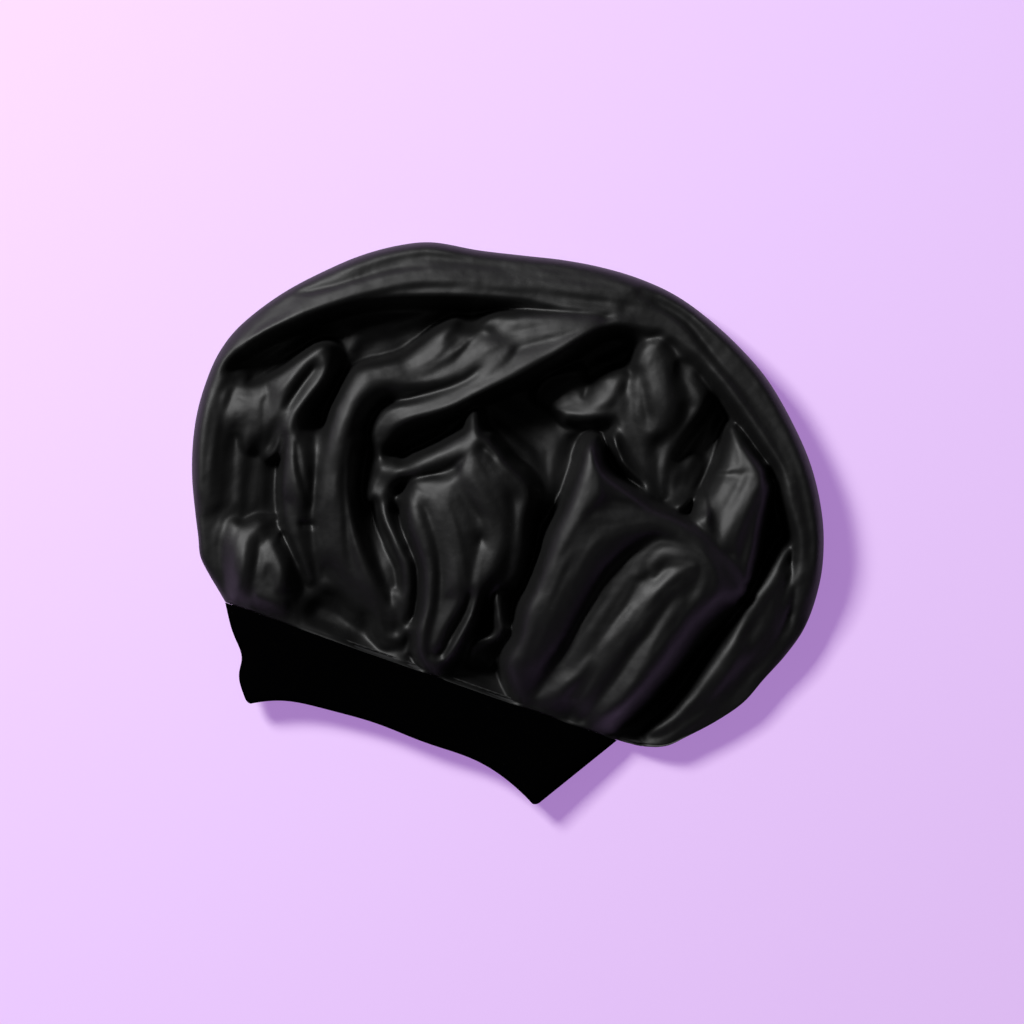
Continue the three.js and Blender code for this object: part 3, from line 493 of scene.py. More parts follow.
def read_grid(grid, rows, columns):
    """Values between the cells of a grid, at fractional rows and columns."""
    r = np.clip(np.floor(rows).astype(int), 0, grid.shape[0] - 2)
    c = np.clip(np.floor(columns).astype(int), 0, grid.shape[1] - 2)
    v, u = np.clip(rows - r, 0, 1), np.clip(columns - c, 0, 1)
    near = grid[r, c] * (1 - u) + grid[r, c + 1] * u
    return near * (1 - v) + (grid[r + 1, c] * (1 - u) + grid[r + 1, c + 1] * u) * v


def soften(grid, cells):
    """Gaussian blur of a grid, its width in cells."""
    reach = int(3 * cells + 1)
    weights = np.exp(-0.5 * (np.arange(-reach, reach + 1) / cells) ** 2)
    weights /= weights.sum()
    for axis in (0, 1):
        padded = np.pad(grid, [(reach, reach) if axis == k else (0, 0) for k in (0, 1)], mode="edge")
        size = grid.shape[axis]
        grid = sum(w * np.take(padded, range(k, k + size), axis=axis) for k, w in enumerate(weights))
    return grid


# %% Crest height, valley height and the round profile
FLANK_SOFTNESS, CLOTH_SOFTNESS, TOP_SOFTNESS = 1.6, 1.2, 2.2
SHOULDER_RISE, FACING_START, FACING_GAIN = 3, 0.5, 0.9
FACING_SOFTNESS, WIDTH_SOFTNESS, LEAST_RISE = 1.0, 3, 0.001
LAMP_ROUND, LAMP_BLUNTNESS, MOST_TIMES, FLOOR_SHARE = 0.0045, 2.4, 2.4, 0.03
FAR_ROUND, FAR_BLUNTNESS = (0.006, 0.018), (1.25, 2.0)
CREST_BLEND = 4
RAMP, RAMP_REACH = 0.38, 0.030
HOLLOW_TILT, TILT_SOFTNESS, TILT_REACH, DEEP_BELOW = 12, 0.004, 0.012, 45
REACHES = ((4, 1), (12, 0.03), (40, 0.0003))
AWAY_FROM_LAMP = -np.array(LAMP_SIDE)

crests = [laid_out(line) for line in CRESTS.values()]
valleys = [laid_out(line) for line in VALLEYS.values()]


def pins(paths, value):
    """Pinned points of paths, all with one value."""
    return [np.column_stack([path[:, :2], np.full(len(path), value)]) for path in paths]


def spread(pinned_points):
    """Smooth height field through pinned points: near ones count most, far ones fill the gaps."""
    total, count = in_cells(pinned_points, FINE)
    top, bottom = 0, 0
    for cells, weight in REACHES:
        top = top + weight * soften(total, cells)
        bottom = bottom + weight * soften(count, cells)
    return top / bottom


neck_heights = [np.column_stack([neck, neck_top / CROWN_HEIGHT * 100])]
flank = film(pins(crests, 1.0) + pins(valleys + [outline, neck], 0.0))


def from_nearest(paths, reach=45):
    """Steps in cells, across and away, from the nearest path to each cell, and the path's height there."""
    rows, columns = np.indices(flank.shape).astype(float)
    found = [np.full(flank.shape, 1e6), np.full(flank.shape, 1e6), np.zeros(flank.shape)]
    for path in paths:
        at = (path[:, 1::-1] - GRID_LOW[::-1]) / FINE - 0.5
        r, c = np.round(at).astype(int).T
        for layer, values in zip(found, (*at.T, path[:, 2])):
            layer[r, c] = values
    for _ in range(reach):
        for way in ((0, 1), (0, -1), (1, 0), (-1, 0), (1, 1), (1, -1), (-1, 1), (-1, -1)):
            other = [np.roll(layer, way, (0, 1)) for layer in found]
            nearer = (np.hypot(other[0] - rows, other[1] - columns)
                      < np.hypot(found[0] - rows, found[1] - columns))
            found = [np.where(nearer, theirs, ours) for theirs, ours in zip(other, found)]
    return columns - found[1], rows - found[0], found[2]


def superellipse(share, power):
    """Round profile from 0 in the crease to 1 on the crest, blunter with a higher power."""
    return (1 - (1 - share) ** power) ** (1 / power)


edge_share = np.linspace(0, 100, len(outline))
edge_pins = np.column_stack([outline[:, :2], np.interp(edge_share, *zip(*SHOULDER))])
rim_edge = edge_pins + (0, 0, SHOULDER_RISE)
across_step, away_step = from_nearest(crests)[:2]
crest_film = soften(from_nearest(crests + [rim_edge] + neck_heights)[2], CREST_BLEND)
from_crest = np.hypot(across_step, away_step) * FINE
lampward = -(across_step * AWAY_FROM_LAMP[0] + away_step * AWAY_FROM_LAMP[1]) * FINE


def tilted(path):
    """Valley line with its deep parts raised behind a crest and lowered before one, seen from the lamp."""
    row, column = ((path[:, 1::-1] - GRID_LOW[::-1]) / FINE - 0.5).T
    side = np.clip(-read_grid(lampward, row, column) / TILT_SOFTNESS, -1, 1)
    close = np.exp(-(read_grid(from_crest, row, column) / TILT_REACH) ** 2)
    deep = np.clip(1 - path[:, 2] / DEEP_BELOW, 0, 1)
    return np.column_stack([path[:, :2], path[:, 2] + HOLLOW_TILT * side * close * deep])


valley_film = spread([tilted(path) for path in valleys] + [edge_pins] + neck_heights)
facing = np.clip(FACING_START + FACING_GAIN * lampward / (from_crest + FINE), 0, 1)
facing = soften(facing, FACING_SOFTNESS)
flank = np.clip((soften(flank, FLANK_SOFTNESS) - FLOOR_SHARE) / (1 - FLOOR_SHARE), 0, 1)
to_valley = np.hypot(*from_nearest([*valleys, rim_edge, *neck_heights])[:2]) * FINE
half_width = soften(from_crest + to_valley, WIDTH_SOFTNESS)
near_side = superellipse(flank, LAMP_BLUNTNESS * np.clip(half_width / LAMP_ROUND, 1, MOST_TIMES))
far_side = superellipse(flank, np.interp(half_width, FAR_ROUND, FAR_BLUNTNESS))
profile = facing * near_side + (1 - facing) * far_side
ramp = RAMP * np.clip(lampward, 0, RAMP_REACH)
rise = np.maximum((crest_film - valley_film) * CROWN_HEIGHT / 100 - ramp, LEAST_RISE)
drawn = valley_film * CROWN_HEIGHT / 100 + rise * profile
blunt = flank ** 2 * (3 - 2 * flank)
cloth = soften(drawn, CLOTH_SOFTNESS) * (1 - blunt) + soften(drawn, TOP_SOFTNESS) * blunt
grid_y, grid_x = np.meshgrid(GRID_LOW[1] + (np.arange(cloth.shape[0]) + 0.5) * FINE,
                             GRID_LOW[0] + (np.arange(cloth.shape[1]) + 0.5) * FINE, indexing="ij")
print("height map", cloth.shape, "up to", round(cloth.max() * 1000, 1), "mm")

# %% [markdown]
# ## Creases
# A few fine creases run along the folds, such as the one along the rim where the cloth doubles over.
# Each is pressed in along its path, far shallower and narrower than a valley.


# %% Press the creases
def nearest_on_path(x, y, path):
    """Distance to a path, and its columns from the third on at the nearest place."""
    best = np.full(x.shape, np.inf)
    columns = np.zeros(x.shape + (path.shape[1],))
    for start, end in zip(path[:-1], path[1:]):
        run = end[:2] - start[:2]
        share = np.clip(((x - start[0]) * run[0] + (y - start[1]) * run[1]) / (run @ run + 1e-15), 0, 1)
        distance = np.hypot(x - start[0] - share * run[0], y - start[1] - share * run[1])
        nearer = distance < best
        best = np.where(nearer, distance, best)
        columns[nearer] = (start + share[..., None] * (end - start))[nearer]
    return best, columns


CREASE_SPACING = 0.006
for line in CREASES.values():
    path = laid_out(line, CREASE_SPACING)
    distance, columns = nearest_on_path(grid_x, grid_y, path)
    depth, width = columns[..., 2] * CROWN_HEIGHT / 100, columns[..., 3] * CROWN_WIDTH / 100
    cloth -= depth * np.exp(-(distance / np.maximum(width, FINE)) ** 2)
print("pressed", len(CREASES), "creases")

# %% [markdown]
# ## Pull lines
# Satin is never quite smooth between its folds. Small pull lines run along them and fan out of the
# gathers. They are made from plain noise that is smeared along the folds' own direction, which the drawn
# lines already know.


# %% Direction of the cloth, and noise combed along it
def heading_pins(paths, turn):
    """Twice the angle of each path as a cosine or a sine, so that both ways along it agree."""
    found = []
    for path in paths:
        step = np.gradient(path[:, :2], axis=0)
        angle = 2 * np.arctan2(step[:, 1], step[:, 0])
        found.append(np.column_stack([path[:, :2], turn(angle)]))
    return found


HEADING_SOFTNESS, COMB_SOFTNESS = 3, 0.8
lines = crests + valleys + [outline]
heading_sine, heading_cosine = (soften(film(heading_pins(lines, turn)), HEADING_SOFTNESS)
                                for turn in (np.sin, np.cos))
heading = np.arctan2(heading_sine, heading_cosine) / 2
along_x, along_y = np.cos(heading), np.sin(heading)
random = np.random.default_rng(11)


def combed(grain, reach):
    """Noise of one grain, in cells, averaged along the folds over a reach in cells, with a spread of 1."""
    noise = soften(random.standard_normal(cloth.shape), grain)
    total = noise.copy()
    rows, columns = np.indices(cloth.shape)
    for way in (1, -1):
        row, column = rows.astype(float), columns.astype(float)
        step_y, step_x = way * along_y, way * along_x
        for _ in range(reach):
            row, column = row + step_y, column + step_x
            r = np.clip(np.round(row).astype(int), 0, cloth.shape[0] - 1)
            c = np.clip(np.round(column).astype(int), 0, cloth.shape[1] - 1)
            total += noise[r, c]
            same = np.where(along_x[r, c] * step_x + along_y[r, c] * step_y < 0, -1, 1)
            step_y, step_x = same * along_y[r, c], same * along_x[r, c]
    total = soften(total, COMB_SOFTNESS)
    return (total - total.mean()) / total.std()


away_from_seam = grid_y - FRAME_SHIFT[1]
PULL_HEIGHT, SWELL_HEIGHT, GATHER_HEIGHT = 0.00018, 0.0005, 0.0003
GATHER_REACH = 0.030
pull_lines = combed(grain=1.2, reach=14)
swells = combed(grain=4.0, reach=22)
gathers = combed(grain=1.6, reach=18)
near_seam = np.exp(-np.clip(away_from_seam, 0, None) / GATHER_REACH)
cloth += PULL_HEIGHT * pull_lines + SWELL_HEIGHT * swells + GATHER_HEIGHT * gathers * near_seam
print("pull lines", round(np.abs(pull_lines).max(), 1), "times their spread at most")

# %% [markdown]
# ## A bag with a rim, an underside and a mouth
# A height map has no edge and no underside. The crown needs both: a rounded rim that turns down to the
# table, a flat underside and an opening at the seam. Points are laid in rings along the outline, where the
# cloth turns fastest, and in an even net inside. A triangulation joins them, and the upper and lower
# sheets share the outline's points, so the bag is one piece of cloth. The same recipe, moved inwards,
# makes the lining later.

# %% Edge of a bag
RIM_ROUND, UNDER_ROUND = 0.0080, 0.0130
EDGE_HEIGHT, EDGE_BLEND = 0.0165, 0.030
UNDERSIDE = 0.0004
EDGE_BLUNTNESS = 2.6

outline_run = np.append(0, np.cumsum(np.hypot(*np.diff(outline[:, :2], axis=0).T)))
edge_path = np.column_stack([outline[:, :2], outline_run])[::2]
tangent = np.gradient(outline[:, :2], axis=0)
inward = np.column_stack([tangent[:, 1], -tangent[:, 0]]) / np.hypot(*tangent.T)[:, None]


def inside(x, y, border):
    """Whether each point lies inside the border."""
    within = np.zeros(x.shape, bool)
    for (ax, ay), (bx, by) in zip(border, np.roll(border, -1, axis=0)):
        if ay != by:
            within ^= ((ay > y) != (by > y)) & (x < (bx - ax) * (y - ay) / (by - ay) + ax)
    return within


def on_grid(grid, x, y):
    """Height map read at places in metres."""
    return read_grid(grid, (y - GRID_LOW[1]) / FINE - 0.5, (x - GRID_LOW[0]) / FINE - 0.5)


def edge_height(run):
    """Height of the outline above the table, lower where it reaches the seam."""
    share = np.clip(np.minimum(run, outline_run[-1] - run) / EDGE_BLEND, 0, 1)
    return SEAM_HEIGHT / 2 + (EDGE_HEIGHT - SEAM_HEIGHT / 2) * share ** 2 * (3 - 2 * share)


def quarter_round(distance, radius):
    """Rise of a rounded edge, from 0 at the edge to 1 at the radius."""
    return (1 - (1 - np.clip(distance / radius, 0, 1)) ** EDGE_BLUNTNESS) ** (1 / EDGE_BLUNTNESS)


# %% Points and triangles of one sheet of a bag
RING_CLEAR, SEAM_CLEAR, NET_CLEAR = 0.93, 0.6, 0.7
CLOSEST_POINTS = 1e-9


def sheet_points(border, inset, rings, net):
    """Border first, then rings inside it and an even net in the middle."""
    x, y = np.meshgrid(np.arange(GRID_LOW[0], GRID_HIGH[0], net),
                       np.arange(GRID_LOW[1], GRID_HIGH[1], net * math.sqrt(0.75)))
    x, y = (x + np.where(np.arange(len(x)) % 2, net / 2, 0)[:, None]).ravel(), y.ravel()
    seam_line = FRAME_SHIFT[1]
    laid = [border]
    for ring in rings:
        ring_points = outline[:, :2] + inward * (inset + ring)
        clear, _ = nearest_on_path(*ring_points.T, edge_path)
        keep = (clear > inset + ring * RING_CLEAR) & inside(*ring_points.T, border)
        laid.append(ring_points[keep & (ring_points[:, 1] > seam_line + ring * SEAM_CLEAR)])
    possible = inside(x, y, border) & (y > seam_line + net * SEAM_CLEAR)
    x, y = x[possible], y[possible]
    clear, _ = nearest_on_path(x, y, edge_path)
    keep = clear > inset + rings[-1] + net * NET_CLEAR
    laid.append(np.column_stack([x[keep], y[keep]]))
    return np.vstack(laid)


def triangulated(points, border):
    """Triangles between the points, all inside the border."""
    edge = [list(range(len(border)))]
    found, _, faces, *_ = delaunay_2d_cdt([Vector(p) for p in points], [], edge, 1, CLOSEST_POINTS, False)
    assert len(found) == len(points)
    faces = np.array(faces)
    kept = faces[inside(*points[faces].mean(axis=1).T, border)]
    print("dropped", len(faces) - len(kept), "triangles outside the border")
    return kept


# %% A whole bag
def bag(inset, height_map, upper_rings, upper_net, lower_rings, lower_net):
    """Points and triangles of a bag that lies one inset inside the crown's outer face."""
    count = len(outline)
    half_seam = SEAM_WIDTH / 2 - inset
    mouth = np.column_stack([SEAM_MIDDLE + neck_across * half_seam, neck[:, 1] * 0]) + FRAME_SHIFT
    border = np.vstack([outline[:, :2] + inward * inset, mouth[1:-1]])
    border[0], border[count - 1] = mouth[-1], mouth[0]
    upper = sheet_points(border, inset, upper_rings, upper_net)
    lower = sheet_points(border, inset, lower_rings, lower_net)

    distance, columns = nearest_on_path(*upper.T, edge_path)
    start = edge_height(columns[:, 2])
    over = on_grid(height_map, *upper.T) - inset
    upper_z = start + (over - start) * quarter_round(distance - inset, RIM_ROUND - inset)
    distance, columns = nearest_on_path(*lower.T, edge_path)
    start = edge_height(columns[:, 2])
    floor_z = UNDERSIDE + inset
    lower_z = floor_z + (start - floor_z) * (1 - quarter_round(distance - inset, UNDER_ROUND - inset))

    rise = (SEAM_HEIGHT / 2 - inset) * ring_rise(neck_across)
    across = (lower[:, 0] - FRAME_SHIFT[0] - SEAM_MIDDLE) / half_seam
    seam_floor = SEAM_HEIGHT / 2 - (SEAM_HEIGHT / 2 - inset) * ring_rise(across)
    near = np.clip(1 - (lower[:, 1] - FRAME_SHIFT[1]) / EDGE_BLEND, 0, 1) ** 2
    lower_z = np.maximum(lower_z, seam_floor * near)
    upper_z[count:len(border)] = SEAM_HEIGHT / 2 + rise[1:-1]
    lower_z[count:len(border)] = SEAM_HEIGHT / 2 - rise[1:-1]
    upper_z[:count] = edge_height(outline_run)

    points = np.vstack([np.column_stack([upper, upper_z]), np.column_stack([lower, lower_z])[count:]])
    below = triangulated(lower, border)
    below = np.where(below < count, below, below + len(upper) - count)
    return points, np.vstack([triangulated(upper, border), below[:, ::-1]])


def mesh_piece(name, points, faces):
    """Smooth-shaded object from points and faces."""
    mesh = bpy.data.meshes.new(name)
    mesh.from_pydata([tuple(p) for p in points], [], [tuple(int(i) for i in face) for face in faces])
    mesh.shade_smooth()
    piece = bpy.data.objects.new(name, mesh)
    bpy.context.scene.collection.objects.link(piece)
    print(name, len(points), "points,", len(faces), "faces")
    return piece


def thicken(piece, thickness):
    """Gives a sheet the cloth's thickness, inwards from its outer face."""
    shell = piece.modifiers.new("cloth_thickness", "SOLIDIFY")
    shell.thickness, shell.offset = thickness, -1


def dress(piece, node):
    """The piece moves with the bonnet and stands for its CAD node."""
    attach(piece, "root")
    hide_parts(node)


# %% Satin crown
SATIN_THICKNESS = 0.00045
UPPER_RINGS, UPPER_NET = (0.0002, 0.0006, 0.0012, 0.0020, 0.0029), 0.0011
LOWER_RINGS, LOWER_NET = (0.0004, 0.0012, 0.0026, 0.0046, 0.0072, 0.0104), 0.0070

crown = mesh_piece("gathered_satin_crown", *bag(0, cloth, UPPER_RINGS, UPPER_NET, LOWER_RINGS, LOWER_NET))
thicken(crown, SATIN_THICKNESS)
dress(crown, "satin_crown")

# %% [markdown]
# ## Lining
# A second satin bag hangs inside the first, dull side out. It follows the big folds and not the small
# ones, so its height map is the crown's lowest height within four millimetres, softened and kept below the
# crown everywhere.

# %% Lining
LINING_THICKNESS, LINING_INSET = 0.00040, 0.0016
LINING_RINGS, LINING_NET = (0.0016, 0.0036, 0.0060), 0.0030
LINING_REACH, LINING_SOFTNESS = 4, 3.0

lining_map = cloth.copy()
for _ in range(LINING_REACH):
    edge = np.pad(lining_map, 1, mode="edge")
    sides = [edge[:-2, 1:-1], edge[2:, 1:-1], edge[1:-1, :-2], edge[1:-1, 2:]]
    lining_map = np.minimum.reduce([*sides, lining_map])
lining_map = np.minimum(soften(lining_map, LINING_SOFTNESS), cloth)
lining = mesh_piece("crown_lining_bag", *bag(LINING_INSET, lining_map, LINING_RINGS, LINING_NET,
                                             LINING_RINGS, LOWER_NET))
thicken(lining, LINING_THICKNESS)
dress(lining, "crown_lining")

# %% [markdown]
# ## Stretch band
# The band is one strip of rib knit, folded double over a wide elastic and sewn to the crown. Lying flat it
# is a ring pressed to a lens: the lip springs up at its two ends, and the left end has buckled where the
# elastic pulls it in. It is lofted as one closed section that runs down the outside, round the folded lip
# and up the inside, then down and up the slot that holds the elastic.

# %% Band sections
KNIT_THICKNESS, BAND_FOLD = 0.0009, 0.0041
BAND_STEPS, BAND_ROWS = 400, 44
BUCKLE_AT, BUCKLE_REACH, BUCKLE_DEPTH = 0.50, 0.16, 0.0032
EAR_AT, EAR_REACH, EAR_DEPTH = 0.80, 0.18, 0.0022
LIP_RIPPLE, LIP_WAVES, LIP_START = 0.0006, 7, 1.3
SIDE_RIPPLE, SIDE_WAVES, SIDE_START = 0.0005, 9, 3
END_SHARPNESS, LEFT_SHARPNESS = 4, 12
LIP_ROWS, SLOT_ROWS, SLOT_REST = 7, 12, 0.06


def band_point(angle, down, inset):
    """Point of the band: the angle goes round the ring, and down runs from the seam at 0 to the lip at 1."""
    across = np.cos(angle)
    up = np.sign(np.sin(angle)) * ring_rise(across)
    width = SEAM_WIDTH + (BAND_MOUTH_WIDTH - SEAM_WIDTH) * down
    height = SEAM_HEIGHT + (MOUTH_HEIGHT - SEAM_HEIGHT) * down
    end = across ** END_SHARPNESS
    lip = BAND_HEIGHT - LIP_ARCH * (1 - end)
    left = np.clip(-across, 0, 1) ** LEFT_SHARPNESS
    buckle = BUCKLE_DEPTH * np.exp(-((down - BUCKLE_AT) / BUCKLE_REACH) ** 2)
    ear = EAR_DEPTH * np.exp(-((down - EAR_AT) / EAR_REACH) ** 2)
    x = SEAM_MIDDLE + (width / 2 - inset) * across + left * (buckle - ear)
    y = -GAP - lip * down + SIDE_RIPPLE * np.sin(SIDE_WAVES * across + SIDE_START) * down
    z = height / 2 + LIP_LIFT * down * end + (height / 2 - inset) * up
    z = z + LIP_RIPPLE * np.sin(LIP_WAVES * across + LIP_START) * down * ring_rise(across)
    return np.column_stack([x + FRAME_SHIFT[0], y + FRAME_SHIFT[1], z])


def ring_faces(rows, steps):
    """Faces of a closed tube of rings: each ring is a row of the section, and the section closes too."""
    row, step = np.indices((rows, steps))
    after, over = (row + 1) % rows, (step + 1) % steps
    corners = (row * steps + step, row * steps + over, after * steps + over, after * steps + step)
    return np.stack(corners, -1).reshape(-1, 4)


around = np.linspace(0, 2 * math.pi, BAND_STEPS, endpoint=False)


def loft_band(section):
    """Points and faces of a closed loft of band sections, each a pair of down and inset."""
    rings = [band_point(around, down, inset) for down, inset in section]
    return np.vstack(rings), ring_faces(len(rings), BAND_STEPS)


def lay_run(piece, section):
    """UV map in metres along the strip: round the ring, and down its height."""
    first = band_point(around, 0.5, 0)
    steps = np.linalg.norm(np.roll(first, -1, axis=0) - first, axis=1)
    run = np.append(0, np.cumsum(steps))
    layer = piece.data.uv_layers.new(name="cloth_run")
    downs = [down * BAND_HEIGHT for down, _ in section]
    for polygon in piece.data.polygons:
        row, step = divmod(polygon.index, BAND_STEPS)
        after = (row + 1) % len(section)
        corners = ((row, step), (row, step + 1), (after, step + 1), (after, step))
        for loop, (at_row, at_step) in zip(polygon.loop_indices, corners):
            layer.data[loop].uv = (run[at_step], downs[at_row])


# %% Doubled knit band
def section_run(start, end, inset, rows):
    """Straight run of a band section at one inset."""
    return [(start + (end - start) * k / rows, inset) for k in range(rows + 1)]


def lip_turn(rows):
    """Round fold at the lip, from the outer layer's face to the inner layer's."""
    radius = BAND_FOLD / 2
    turn = np.linspace(-math.pi / 2, math.pi / 2, rows + 2)[1:-1]
    return [(1 + radius / BAND_HEIGHT * (math.cos(t) - 1), radius * (1 + math.sin(t))) for t in turn]


lip_start = 1 - BAND_FOLD / 2 / BAND_HEIGHT
slot_inset = BAND_FOLD - KNIT_THICKNESS
slot_end = lip_start - SLOT_REST
band_section = [*section_run(0, lip_start, 0, BAND_ROWS), *lip_turn(LIP_ROWS),
                *section_run(lip_start, 0, BAND_FOLD, BAND_ROWS),
                *section_run(0, slot_end, slot_inset, SLOT_ROWS),
                *section_run(slot_end, 0, KNIT_THICKNESS, SLOT_ROWS)]
band = mesh_piece("doubled_knit_band", *loft_band(band_section))
lay_run(band, band_section)
dress(band, "stretch_band")

# %% [markdown]
# ## Elastic
# A woven elastic tape runs free inside the doubled band. It can't be seen, but it is what gives the band
# its grip, so it is there, and it follows the band's waves.

# %% Elastic tape
TAPE_THICKNESS, TAPE_HEIGHT, TAPE_ROWS = 0.0011, 0.032, 16
tape_start, tape_end = GAP * 2 / BAND_HEIGHT, (GAP * 2 + TAPE_HEIGHT) / BAND_HEIGHT
tape_outer = (BAND_FOLD - TAPE_THICKNESS) / 2
tape_inner = tape_outer + TAPE_THICKNESS
tape_section = [*section_run(tape_start, tape_end, tape_outer, TAPE_ROWS),
                *section_run(tape_end, tape_start, tape_inner, TAPE_ROWS)]
tape = mesh_piece("woven_elastic_tape", *loft_band(tape_section))
lay_run(tape, tape_section)
dress(tape, "band_elastic")

# %% [markdown]
# ## Seams inside
# Crown, lining and band meet in an overlocked seam, whose loops wrap the raw edges, and a row of
# gathering stitches runs beside it. Both are thin threads that circle the mouth on the inside, so each is a
# tube swept along its own path.

# %% Threads swept along a path
THREAD_SIDES, LEAST_SIDE = 6, 0.05


def thread_tube(path, radius):
    """Points and faces of a closed tube of thread that follows a closed path."""
    ahead = np.roll(path, -1, axis=0) - np.roll(path, 1, axis=0)
    ahead /= np.linalg.norm(ahead, axis=1)[:, None]
    side = np.cross(ahead, (0, 0, 1.0))
    side = np.where(np.linalg.norm(side, axis=1)[:, None] < LEAST_SIDE, np.cross(ahead, (0, 1.0, 0)), side)
    side /= np.linalg.norm(side, axis=1)[:, None]
    other = np.cross(side, ahead)
    turns = np.linspace(0, 2 * math.pi, THREAD_SIDES, endpoint=False)
    rings = np.stack([path + radius * (math.cos(t) * side + math.sin(t) * other) for t in turns])
    return rings.reshape(-1, 3), ring_faces(THREAD_SIDES, len(path))


# %% Overlocked join and gathering stitches
SEAM_BEAD, SEAM_THREAD, GATHER_THREAD = 0.0024, 0.00022, 0.00045
OVERLOCK_LOOPS, OVERLOCK_STEPS = 260, 10
seam_inset = BAND_FOLD + GAP + SEAM_BEAD / 2

angles = np.linspace(0, 2 * math.pi, OVERLOCK_LOOPS * OVERLOCK_STEPS, endpoint=False)
base = band_point(angles, 0, seam_inset)
loops = OVERLOCK_LOOPS * angles
radius = SEAM_BEAD / 2 - SEAM_THREAD
outwards = base - band_point(angles, 0, seam_inset + GAP)
outwards /= np.linalg.norm(outwards, axis=1)[:, None]
away = np.array([0, 1.0, 0])
overlock_path = base + radius * (np.cos(loops)[:, None] * outwards + np.sin(loops)[:, None] * away)
overlock_path[:, 1] += GAP / 2
overlock = mesh_piece("overlocked_join", *thread_tube(overlock_path, SEAM_THREAD))
dress(overlock, "join_seam")

GATHER_STITCHES, GATHER_STEPS, GATHER_SWING = 150, 8, 0.0002
angles = np.linspace(0, 2 * math.pi, GATHER_STITCHES * GATHER_STEPS, endpoint=False)
gather_path = band_point(angles, 0, seam_inset + GATHER_SWING * np.sin(GATHER_STITCHES * angles))
gather_path[:, 1] += SEAM_BEAD + GAP
gather = mesh_piece("gathering_stitches", *thread_tube(gather_path, GATHER_THREAD))
dress(gather, "gather_thread")

# %% [markdown]
# ## Back seam of the band
# The knit strip closes into a ring with one short seam at the band's left end, on the inside. Its
# zigzag stitches lie on a flat strip of folded knit.

# %% Zigzag over the back seam
ZIGZAG_ROWS, ZIGZAG_STEPS, ZIGZAG_HALF = 20, 6, 0.045
ZIGZAG_FROM, ZIGZAG_TO, ZIGZAG_LIFT = 0.10, 0.93, 2.4
seam_rest = BAND_FOLD + GAP * 2 + SEAM_THREAD * 2
zigzag_down = np.linspace(ZIGZAG_FROM, ZIGZAG_TO, ZIGZAG_ROWS * ZIGZAG_STEPS)
turns = math.pi * ZIGZAG_ROWS * (zigzag_down - zigzag_down[0])
zigzag_swing = ZIGZAG_HALF * 2 / math.pi * np.arcsin(np.sin(turns))
zigzag = np.array([band_point(np.array([math.pi + swing]), down, seam_rest)[0]
                   for swing, down in zip(zigzag_swing, zigzag_down)])
zigzag = np.vstack([zigzag, zigzag[::-1] + np.array([SEAM_THREAD * ZIGZAG_LIFT, 0, 0])])
back_seam = mesh_piece("back_seam_stitches", *thread_tube(zigzag, SEAM_THREAD))
dress(back_seam, "band_back_seam")

# %% [markdown]
# ## Finishes
# Every cloth here is black, and what tells them apart is how they take light. Satin has long floating
# threads that smear the light into a broad glow; its reverse is duller; rib knit swallows light in its
# loops; elastic tape has raised cords; spun thread has a twist. Three node groups serve them all: crossed
# threads, slow patches of change, and a sprinkle of lint. Each material places them with its own values.


# %% Node helpers
def node_group(name, inputs, outputs):
    """New shader node group with float sockets and, first, a vector to read the pattern at."""
    group = bpy.data.node_groups.new(name, "ShaderNodeTree")
    group.interface.new_socket("Vector", in_out="INPUT", socket_type="NodeSocketVector")
    for label, value in inputs.items():
        socket = group.interface.new_socket(label, in_out="INPUT", socket_type="NodeSocketFloat")
        socket.default_value = value
    for label in outputs:
        group.interface.new_socket(label, in_out="OUTPUT", socket_type="NodeSocketFloat")
    return group, group.nodes.new("NodeGroupInput"), group.nodes.new("NodeGroupOutput")


def maths(tree, operation, first, second=None, third=None):
    """Math node fed by sockets or plain numbers; gives its output socket."""
    node = tree.nodes.new("ShaderNodeMath")
    node.operation = operation
    for socket, value in zip(node.inputs, (first, second, third)):
        if isinstance(value, (int, float)):
            socket.default_value = value
        elif value is not None:
            tree.links.new(value, socket)
    return node.outputs[0]


def noise(tree, vector, scale, detail=2.0, roughness=0.5):
    """Noise texture read at a vector; scale is a number or a socket."""
    node = tree.nodes.new("ShaderNodeTexNoise")
    node.inputs["Detail"].default_value, node.inputs["Roughness"].default_value = detail, roughness
    tree.links.new(vector, node.inputs["Vector"])
    if isinstance(scale, (int, float)):
        node.inputs["Scale"].default_value = scale
    else:
        tree.links.new(scale, node.inputs["Scale"])
    return node.outputs[0]


# %% Crossed threads
LEAN_IN_DEPTH, CROSSING_SHARE = 0.7, 0.35
pitches = {"Warp Pitch": 0.0004, "Weft Pitch": 0.0004, "Slant": 0.5}
group, given, wanted = node_group("crossed_threads", pitches, ["Height"])
parts = group.nodes.new("ShaderNodeSeparateXYZ")
group.links.new(given.outputs["Vector"], parts.inputs[0])
across, along, deep_part = (parts.outputs[k] for k in range(3))
slanted = maths(group, "MULTIPLY_ADD", along, given.outputs["Slant"], across)
steep = maths(group, "MULTIPLY_ADD", deep_part, LEAN_IN_DEPTH, slanted)
warp = maths(group, "SINE", maths(group, "DIVIDE", maths(group, "MULTIPLY", steep, 2 * math.pi),
                                  given.outputs["Warp Pitch"]))
lying = maths(group, "MULTIPLY_ADD", deep_part, LEAN_IN_DEPTH, along)
weft = maths(group, "SINE", maths(group, "DIVIDE", maths(group, "MULTIPLY", lying, 2 * math.pi),
                                  given.outputs["Weft Pitch"]))
crossing = maths(group, "MULTIPLY", warp, weft)
plain = maths(group, "MULTIPLY", warp, 1 - CROSSING_SHARE)
